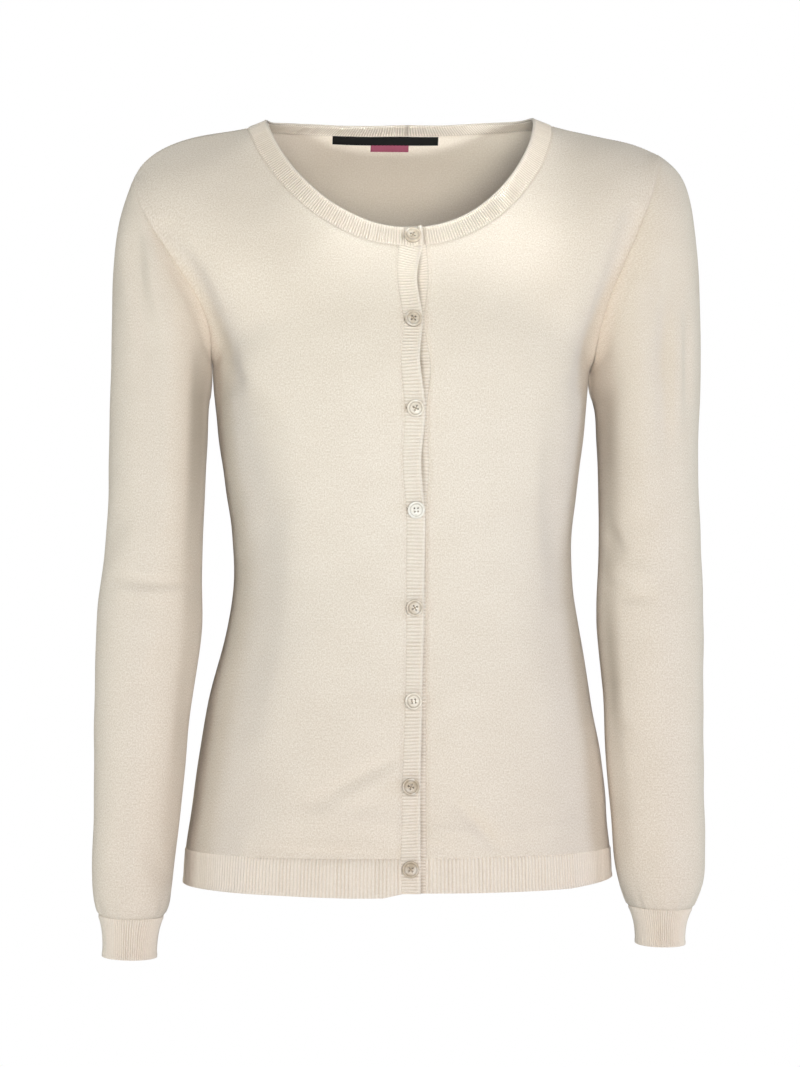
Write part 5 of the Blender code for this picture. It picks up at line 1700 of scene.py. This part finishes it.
# %% Linking along the seams
# length, width and height of a stitch
LINK, ARMHOLE_LINK, CUFF_LINK, SHOULDER_LINK = [
    (0.0016, 0.0009, 0.0006), (0.0017, 0.0009, 0.0007), (0.0016, 0.0009, 0.0008),
    (0.0017, 0.0008, 0.0006)]
seams = []
for side_name in SIDES:
    front, tube = forms["front_" + side_name], forms["sleeve_" + side_name]
    arm = "sleeve_" + side_name
    seams += [
        sew("band_linking_" + side_name, front, (0.001, front.v[NECK_CORNER]),
            (0.0002, 0.0002), 0.0024, "body", -0.0003, LINK),
        sew("armhole_linking_" + side_name, tube, (0.0004, 0.0004), (0, tube.u[-1]),
            0.0023, arm, -0.0003, ARMHOLE_LINK),
        sew("cuff_linking_" + side_name, tube, (tube.v[-3],) * 2, (0, tube.u[-1]),
            0.0020, arm, -0.0001, CUFF_LINK),
        sew("shoulder_linking_" + side_name, front, (front.v[-1] - 0.0002,) * 2,
            (0.001, front.u[-1]), 0.0024, "body", -0.0003, SHOULDER_LINK),
    ]
neck = forms["neckband"]
seams.append(sew("neck_linking", neck, (0.0003, 0.0003), (0.010, neck.u[-1] - 0.010),
                 0.0021, "body", -0.0002, LINK))
print("linked seams:", len(seams))

# %% Marks of narrowing
# where a panel was narrowed, a stitch leans over its neighbour every few courses
ARMHOLE_MARK, NECK_MARK, MARK_LEAN = (0.0024, 0.0011, 0.0008), (0.0022, 0.0010, 0.0008), 0.9
for side_name, side in SIDES.items():
    front = forms["front_" + side_name]
    width, top = front.u[-1], front.v[-1]
    seams += [
        sew("armhole_marks_" + side_name, front, (top - 0.150, top - 0.035),
            (width - 0.011, width - 0.009), 0.0125, "body", -0.0002, ARMHOLE_MARK,
            -side * MARK_LEAN),
        sew("neck_marks_" + side_name, front,
            (front.v[NECK_CORNER] + 0.020, top - 0.012), (0.0075, 0.0085), 0.0150, "body",
            -0.0002, NECK_MARK, side * MARK_LEAN),
    ]
print("seams:", len(seams), "stitches:",
      sum(len(row.data.polygons) for row in seams) // len(STITCH.data.polygons))

# %% [markdown]
# ## Buttons
# Eight round four-hole buttons, 12.5 mm across, of polyester with a pearly taupe finish. The face
# has a raised rim, a step and a dished middle. A button starts as a cylinder: its front face
# is inset and moved in turn for rim, step and dish, its edges are bevelled, and four pegs cut
# the holes. The pearl is a colour that clouds from taupe to silver under a clear coat. Shade is
# painted on the step, the edge and in the holes, and each button gets one of four tones of the
# same pearl, painted light: lighter where it would reflect more light at its tilt, darker where
# less.

# %% One button
BUTTON_RADIUS, BUTTON_THICK, BUTTON_SIDES = 0.00625, 0.0026, 48
HOLE_RADIUS, HOLE_PLACE = 0.00072, 0.00125
# how far the face is inset, and how far the inset rises: rim, step and dish
FACE_STEPS = [(0.00055, 0.00010), (0.00075, 0.0), (0.00030, -0.00045), (0.00090, -0.00010),
              (0.00030, 0.00015), (0.00120, -0.00030)]


def paint_button(button):
    """Paints shade on the step, the edge and the holes."""
    painted_shade = button.data.attributes.new("painted_shade", "FLOAT", "POINT")
    for vertex, value in zip(button.data.vertices, painted_shade.data):
        out, depth = vertex.co.xy.length, BUTTON_THICK / 2 - vertex.co.z
        groove = 0.42 * float(hump(out - 0.0044, 0.0004))
        edge = 0.72 if out > 0.0060 and depth > 0.0004 else 0.0
        hole = 0.95 if out < 0.0028 and depth > 0.0009 else 0.0
        value.value = max(groove, edge, hole)


def first_button():
    deselect()
    bpy.ops.mesh.primitive_cylinder_add(vertices=BUTTON_SIDES, radius=BUTTON_RADIUS,
                                        depth=BUTTON_THICK)
    button = bpy.context.object
    button.name = "button"
    bpy.ops.object.mode_set(mode="EDIT")
    bpy.ops.mesh.select_all(action="DESELECT")
    bpy.ops.object.mode_set(mode="OBJECT")
    front = max(button.data.polygons, key=lambda face: face.center.z)
    front.select = True
    bpy.ops.object.mode_set(mode="EDIT")
    for inset, rise in FACE_STEPS:
        bpy.ops.mesh.inset(thickness=inset, depth=0)
        bpy.ops.transform.translate(value=(0, 0, rise))
    bpy.ops.object.mode_set(mode="OBJECT")
    bevel = button.modifiers.new("bevel", "BEVEL")
    bevel.width, bevel.segments, bevel.limit_method = 0.00022, 2, "ANGLE"
    bevel.angle_limit = math.radians(40)
    bpy.ops.object.modifier_apply(modifier=bevel.name)
    for across, up in ((-1, -1), (-1, 1), (1, -1), (1, 1)):
        deselect()
        bpy.ops.mesh.primitive_cylinder_add(vertices=14, radius=HOLE_RADIUS, depth=0.01,
                                            location=(across * HOLE_PLACE, up * HOLE_PLACE, 0))
        peg = bpy.context.object
        activate(button)
        cut = button.modifiers.new("hole", "BOOLEAN")
        cut.operation, cut.object, cut.solver = "DIFFERENCE", peg, "EXACT"
        bpy.ops.object.modifier_apply(modifier=cut.name)
        bpy.data.objects.remove(peg)
    bpy.ops.object.shade_smooth_by_angle(angle=math.radians(30))
    paint_button(button)
    return button


BUTTON = first_button()
print("faces of one button:", len(BUTTON.data.polygons))

# %% The pearly finish
# the first colour is painted shade, for the button's step, edge and holes
BUTTON_PAINTED_SHADE, GLEAM = (0.19, 0.145, 0.10), (0.84, 0.84, 0.84)


def shell_material(name, tone):
    recipe = Recipe(name, 0.42)
    recipe.set(Coat_Weight=0.25, Coat_Roughness=0.25, Specular_IOR_Level=0.35)
    place = recipe.node("ShaderNodeTexCoord").outputs["Object"]
    cloud = recipe.cloud(place, (190.0, 190.0, 190.0), 3.0, 0.6)
    colour = recipe.ramp(cloud, (0.32, tuple(0.80 * part for part in tone)), (0.50, tone),
                         (0.68, between(tone, GLEAM, 0.4)))
    return recipe.finish(recipe.mix(recipe.painted("painted_shade"), colour, BUTTON_PAINTED_SHADE))


# four copies of one pearl, lighter and darker: painted light, for how much light each button
# reflects at its tilt
PEARL_TONES_PAINTED_LIT = {
    "warm": shell_material("pearly_taupe_painted_dim", (0.48, 0.39, 0.29)),
    "mid": shell_material("pearly_taupe_painted_mid", (0.60, 0.51, 0.41)),
    "pale": shell_material("pearly_taupe_painted_bright", (0.71, 0.63, 0.53)),
    "silver": shell_material("pearly_painted_brightest", (0.81, 0.765, 0.695)),
}
print("shells:", ", ".join(PEARL_TONES_PAINTED_LIT))

# %% How a button lies and is sewn on
# each strand: the middle's place, its direction in degrees, and its length
STRANDS = {"cross": [(0, 45, 0.0042), (0, 135, 0.0042)],
           "bars": [(-HOLE_PLACE, 90, 0.0030), (HOLE_PLACE, 90, 0.0030)], "bare": []}
STRAND_SIZE, STRAND_APART, STRAND_SINK = (0.0008, 0.0010), 0.00018, 0.0005
SLOPE_REACH = 0.006


def place_button(node, across, height, turn):
    """Flat against the band: up its slope, and turned a little."""
    low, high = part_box(node)
    slope = (front_centre(across, height + SLOPE_REACH, BAND_LAP)
             - front_centre(across, height - SLOPE_REACH, BAND_LAP))
    out, up = Vector((0, -slope.z, slope.y)).normalized(), slope.normalized()
    matrix = Matrix((up.cross(out), up, out)).transposed().to_4x4()
    matrix.translation = (low + high) / 2
    return matrix @ Matrix.Rotation(math.radians(turn), 4, "Z")


def sew_on(number, place, style):
    """Two threads side by side for each strand over the button's face."""
    places = []
    for x, degrees, length in STRANDS[style]:
        way = Vector((math.cos(math.radians(degrees)), math.sin(math.radians(degrees)), 0))
        for offset in (-STRAND_APART, STRAND_APART):
            aside = Vector((-way.y, way.x, 0)) * offset
            point = Vector((x, 0, BUTTON_THICK / 2 - STRAND_SINK)) + aside
            places.append((point, way, (0, 0, 1)))
    if places:
        row = stitch_row("button_thread_%d" % number, places, (length, *STRAND_SIZE),
                         thread=BUTTON_THREAD)
        row.data.transform(place)
        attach(row, "root")


print("strands of a cross:", len(STRANDS["cross"]), "of bars:", len(STRANDS["bars"]))

# %% The eight buttons
# from the neck down: tone, painted lighter or darker for the light it reflects, turn in degrees,
# and how it is sewn on
BUTTON_LOOKS = [("mid", 12, "cross"), ("mid", -8, "cross"), ("pale", 20, "cross"),
                ("silver", 4, "bare"), ("mid", -15, "cross"), ("pale", 9, "bars"),
                ("warm", 25, "cross"), ("warm", -4, "cross")]
for number, ((across, height), (finish, turn, style)) in enumerate(zip(BUTTONS, BUTTON_LOOKS), 1):
    node = "button_%d" % number
    place = place_button(node, across, height, turn)
    button = bpy.data.objects.new(node + "_shell", BUTTON.data.copy())
    bpy.context.collection.objects.link(button)
    button.data.transform(place)
    button.data.materials.append(PEARL_TONES_PAINTED_LIT[finish])
    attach(button, "root")
    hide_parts(node)
    sew_on(number, place, style)
bpy.data.objects.remove(BUTTON)
bpy.data.objects.remove(STITCH)
print("buttons:", len(BUTTONS))

# %% [markdown]
# ## Labels
# A narrow black woven label is sewn inside the back neck, and a small folded tab of dusty pink
# tape hangs below it. Both are plain here. Each is laid on the inside of the back, just clear.

# %% Woven tape
LABEL_WALL, LABEL_CLEAR, WEAVE_PITCH = 0.0006, 0.0008, 0.0006
# how far below the neck seam each starts, how tall it is, and how much its right end drops
LABEL_PLACES = {"neck_label": (0.0003, 0.0072, 0.0016), "size_tab": (0.0078, 0.0054, 0.0006)}


def woven_material(name, colour, roughness):
    recipe = Recipe(name, roughness)
    recipe.set(Specular_IOR_Level=0.15, Sheen_Weight=0.0)
    warp, weft = (recipe.math("SINE", recipe.math("MULTIPLY", way, 2 * math.pi / WEAVE_PITCH))
                  for way in recipe.place()[1:])
    return recipe.finish(colour, recipe.bump(recipe.math("MULTIPLY", warp, weft), 0.00008, 0.6))


print("threads of the weave per cm:", round(0.01 / WEAVE_PITCH))


# %% Patches inside the back neck
def inner_patch(node, material, wider=(0.0, 0.0)):
    """A patch inside the back neck, as wide as its solid and a little more on each side."""
    low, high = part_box(node)
    low.x, high.x = low.x - wider[0], high.x + wider[1]
    form = forms["back"]
    below, tall, drop = LABEL_PLACES[node]
    centre_u = form.u[BACK_CENTRE]
    fine_v = np.linspace(form.v[-1], form.v[-1] - 0.06, 600)
    track = form.points(fine_v[::-1], [centre_u])[::-1, 0]
    run = np.concatenate([[0], np.cumsum(np.linalg.norm(np.diff(track, axis=0), axis=1))])
    v_high, v_low = np.interp((below, below + tall), run, fine_v)
    v_line, across = steps(v_low, v_high, 0.0012), steps(low.x, high.x, 0.003)
    fine_u = centre_u + np.linspace(-0.08, 0.08, 600)
    u_table = []
    for v in v_line:
        x = form.points([v], fine_u)[0, :, 0]
        order = np.argsort(x)
        u_table.append(np.interp(across, x[order], fine_u[order]))
    tilt = -drop * (across - low.x) / (high.x - low.x)
    inwards = JERSEY_WALL + LABEL_CLEAR
    cloth = lay(node + "_woven", form, v_line[:, None] + tilt[None], np.array(u_table),
                lambda points, normals, v, u: unevenness(points) - inwards, LABEL_WALL,
                lambda points, normals, v, u: (u, v), inside=True)
    dressed(cloth, node, material)


inner_patch("neck_label", woven_material("black_satin", (0.004, 0.004, 0.0042), 0.6),
            wider=(0.0030, 0.0010))
inner_patch("size_tab", woven_material("pink_tape", (0.30, 0.075, 0.125), 0.7))

# %% [markdown]
# ## What each piece of cloth was cut from
# Each sheet's flat size, width first, before it was sewn up and filled out, is listed here and
# printed beside the area it has as laid.

# %% Flat sizes
# piece: width, length, and the area where the cut isn't a rectangle, in metres; the ribs of
# the hem and the cuffs are measured pulled open
CUTS = {
    "front_right": (0.184, 0.592, 0.0980), "front_left": (0.178, 0.592, 0.0945),
    "back": (0.402, 0.582, 0.2130), "sleeve_right": (0.320, 0.545, 0.1210),
    "sleeve_left": (0.330, 0.550, 0.1290), "hem_rib_front_right": (0.215, 0.026, None),
    "hem_rib_front_left": (0.208, 0.026, None), "hem_rib_back": (0.485, 0.026, None),
    "cuff_right": (0.196, 0.026, None), "cuff_left": (0.191, 0.026, None),
    "buttonhole_band": (0.016, 0.482, None), "button_band": (0.019, 0.482, None),
    "neckband": (0.017, 0.660, None), "neck_label": (0.082, 0.0100, 0.00072),
    "size_tab": (0.033, 0.0100, 0.00020),
}
for name, cloth in CLOTH.items():
    width, length, area = CUTS[name]
    surface = sum(face.area for face in cloth.data.polygons) / 2
    print(name, "cut", round(area or width * length, 4), "laid", round(surface, 4), "m2")

# %% [markdown]
# ## Light, floor and camera
# The cardigan hangs in the air as it would on a body. Soft light from large panels in front
# and above, with a narrow beam on the chest, keeps the chest bright and lets the sides and the
# sleeves fall away. The backdrop is a white sky that only the camera sees: the cloth itself is
# lit by a much dimmer, warm one, which gives the shade its tone.

# %% Sky
SKY_LIGHT, SKY_TINT = 0.07, (1.0, 0.90, 0.80)
world = bpy.data.worlds.new("studio")
bpy.context.scene.world = world
world.use_nodes = True
tree = world.node_tree
background = tree.nodes["Background"]
background.inputs["Color"].default_value = (*SKY_TINT, 1)
background.inputs["Strength"].default_value = SKY_LIGHT
white = tree.nodes.new("ShaderNodeBackground")
white.inputs["Color"].default_value = (1, 1, 1, 1)
white.inputs["Strength"].default_value = 1.0
path = tree.nodes.new("ShaderNodeLightPath")
mix = tree.nodes.new("ShaderNodeMixShader")
tree.links.new(path.outputs["Is Camera Ray"], mix.inputs[0])
tree.links.new(background.outputs[0], mix.inputs[1])
tree.links.new(white.outputs[0], mix.inputs[2])
tree.links.new(mix.outputs[0], tree.nodes["World Output"].inputs["Surface"])
print("sky strength on the cloth:", SKY_LIGHT)

# %% Lamps
LAMPS = [  # name, place, what it is aimed at, width, height, watts, colour, spread in degrees
    ("front", (0.0, -2.4, -0.20), (0.0, 0.0, -0.30), 0.9, 0.9, 38.6, (1.0, 0.94, 0.90), 180),
    ("right", (-1.65, -1.60, -0.30), (0.0, 0.0, -0.33), 0.5, 1.2, 5.8, (0.76, 1.0, 0.98), 180),
    ("side right", (-1.8, -0.50, -0.30), (0.0, 0.0, -0.33), 0.5, 1.2, 4.3, (0.68, 0.78, 1.0), 180),
    ("side left", (1.8, -0.50, -0.30), (0.0, 0.0, -0.33), 0.5, 1.2, 9.7, (0.70, 0.82, 1.0), 180),
    ("far right", (-1.8, 0.30, -0.30), (0.0, 0.0, -0.33), 0.5, 1.2, 8.2, (1.0, 0.94, 0.74), 180),
    ("far left", (1.8, 0.30, -0.30), (0.0, 0.0, -0.33), 0.5, 1.2, 6.8, (0.98, 1.0, 0.73), 180),
    ("overhead", (0.0, 0.10, 1.60), (0.0, 0.0, 0.0), 1.2, 0.8, 9.3, (0.94, 1.0, 1.0), 180),
    ("neck edge", (0.03, -0.85, -0.42), (0.02, 0.06, 0.0), 0.18, 0.09, 0.026, (0.95, 1.0, 1.0), 5),
    ("neck", (0.02, -1.30, -0.22), (0.015, 0.07, -0.045), 0.4, 0.2, 0.027, (1.0, 0.99, 0.66), 14),
]


def aimed(data, place, target, watts, colour):
    data.energy, data.color = watts, colour
    lamp = bpy.data.objects.new(data.name, data)
    bpy.context.collection.objects.link(lamp)
    lamp.location = place
    lamp.rotation_euler = (Vector(target) - Vector(place)).to_track_quat("-Z", "Y").to_euler()
    return lamp


for name, place, target, width, height, watts, colour, spread in LAMPS:
    panel_light = bpy.data.lights.new(name, "AREA")
    panel_light.shape, panel_light.size, panel_light.size_y = "RECTANGLE", width, height
    panel_light.spread = math.radians(spread)
    aimed(panel_light, place, target, watts, colour).visible_camera = False
beam = bpy.data.lights.new("chest", "SPOT")
beam.spot_size, beam.spot_blend, beam.shadow_soft_size = math.radians(17), 1.0, 0.25
aimed(beam, (0.05, -2.0, -0.22), (0.0, 0.0, -0.27), 36.0, (0.64, 0.96, 1.0))
print("lamps:", [row[0] for row in LAMPS] + [beam.name])

# %% Floor and camera
FLOOR_DROP, FLOOR_RADIUS = -1.40, 3.0
CAMERA_TURN, CAMERA_AWAY, CAMERA_HEIGHT, LENS = -5.0, 2.6, -0.313, 115.9
deselect()
bpy.ops.mesh.primitive_circle_add(vertices=96, radius=FLOOR_RADIUS, fill_type="NGON",
                                  location=(0, 0, FLOOR_DROP))
floor = bpy.context.object
floor.name = "floor"
floor.data.materials.append(Recipe("white_floor", 0.8).finish((0.85, 0.85, 0.85)))
turn = math.radians(CAMERA_TURN)
lens = bpy.data.cameras.new("camera")
lens.lens, lens.sensor_width, lens.sensor_height, lens.sensor_fit = LENS, 36, 36, "VERTICAL"
camera = bpy.data.objects.new("camera", lens)
bpy.context.collection.objects.link(camera)
camera.location = (CAMERA_AWAY * math.sin(turn), -CAMERA_AWAY * math.cos(turn), CAMERA_HEIGHT)
camera.rotation_euler = (math.pi / 2, 0, turn)
bpy.context.scene.camera = camera
bpy.context.scene.view_settings.view_transform = "Standard"
print("camera at", tuple(round(value, 3) for value in camera.location))
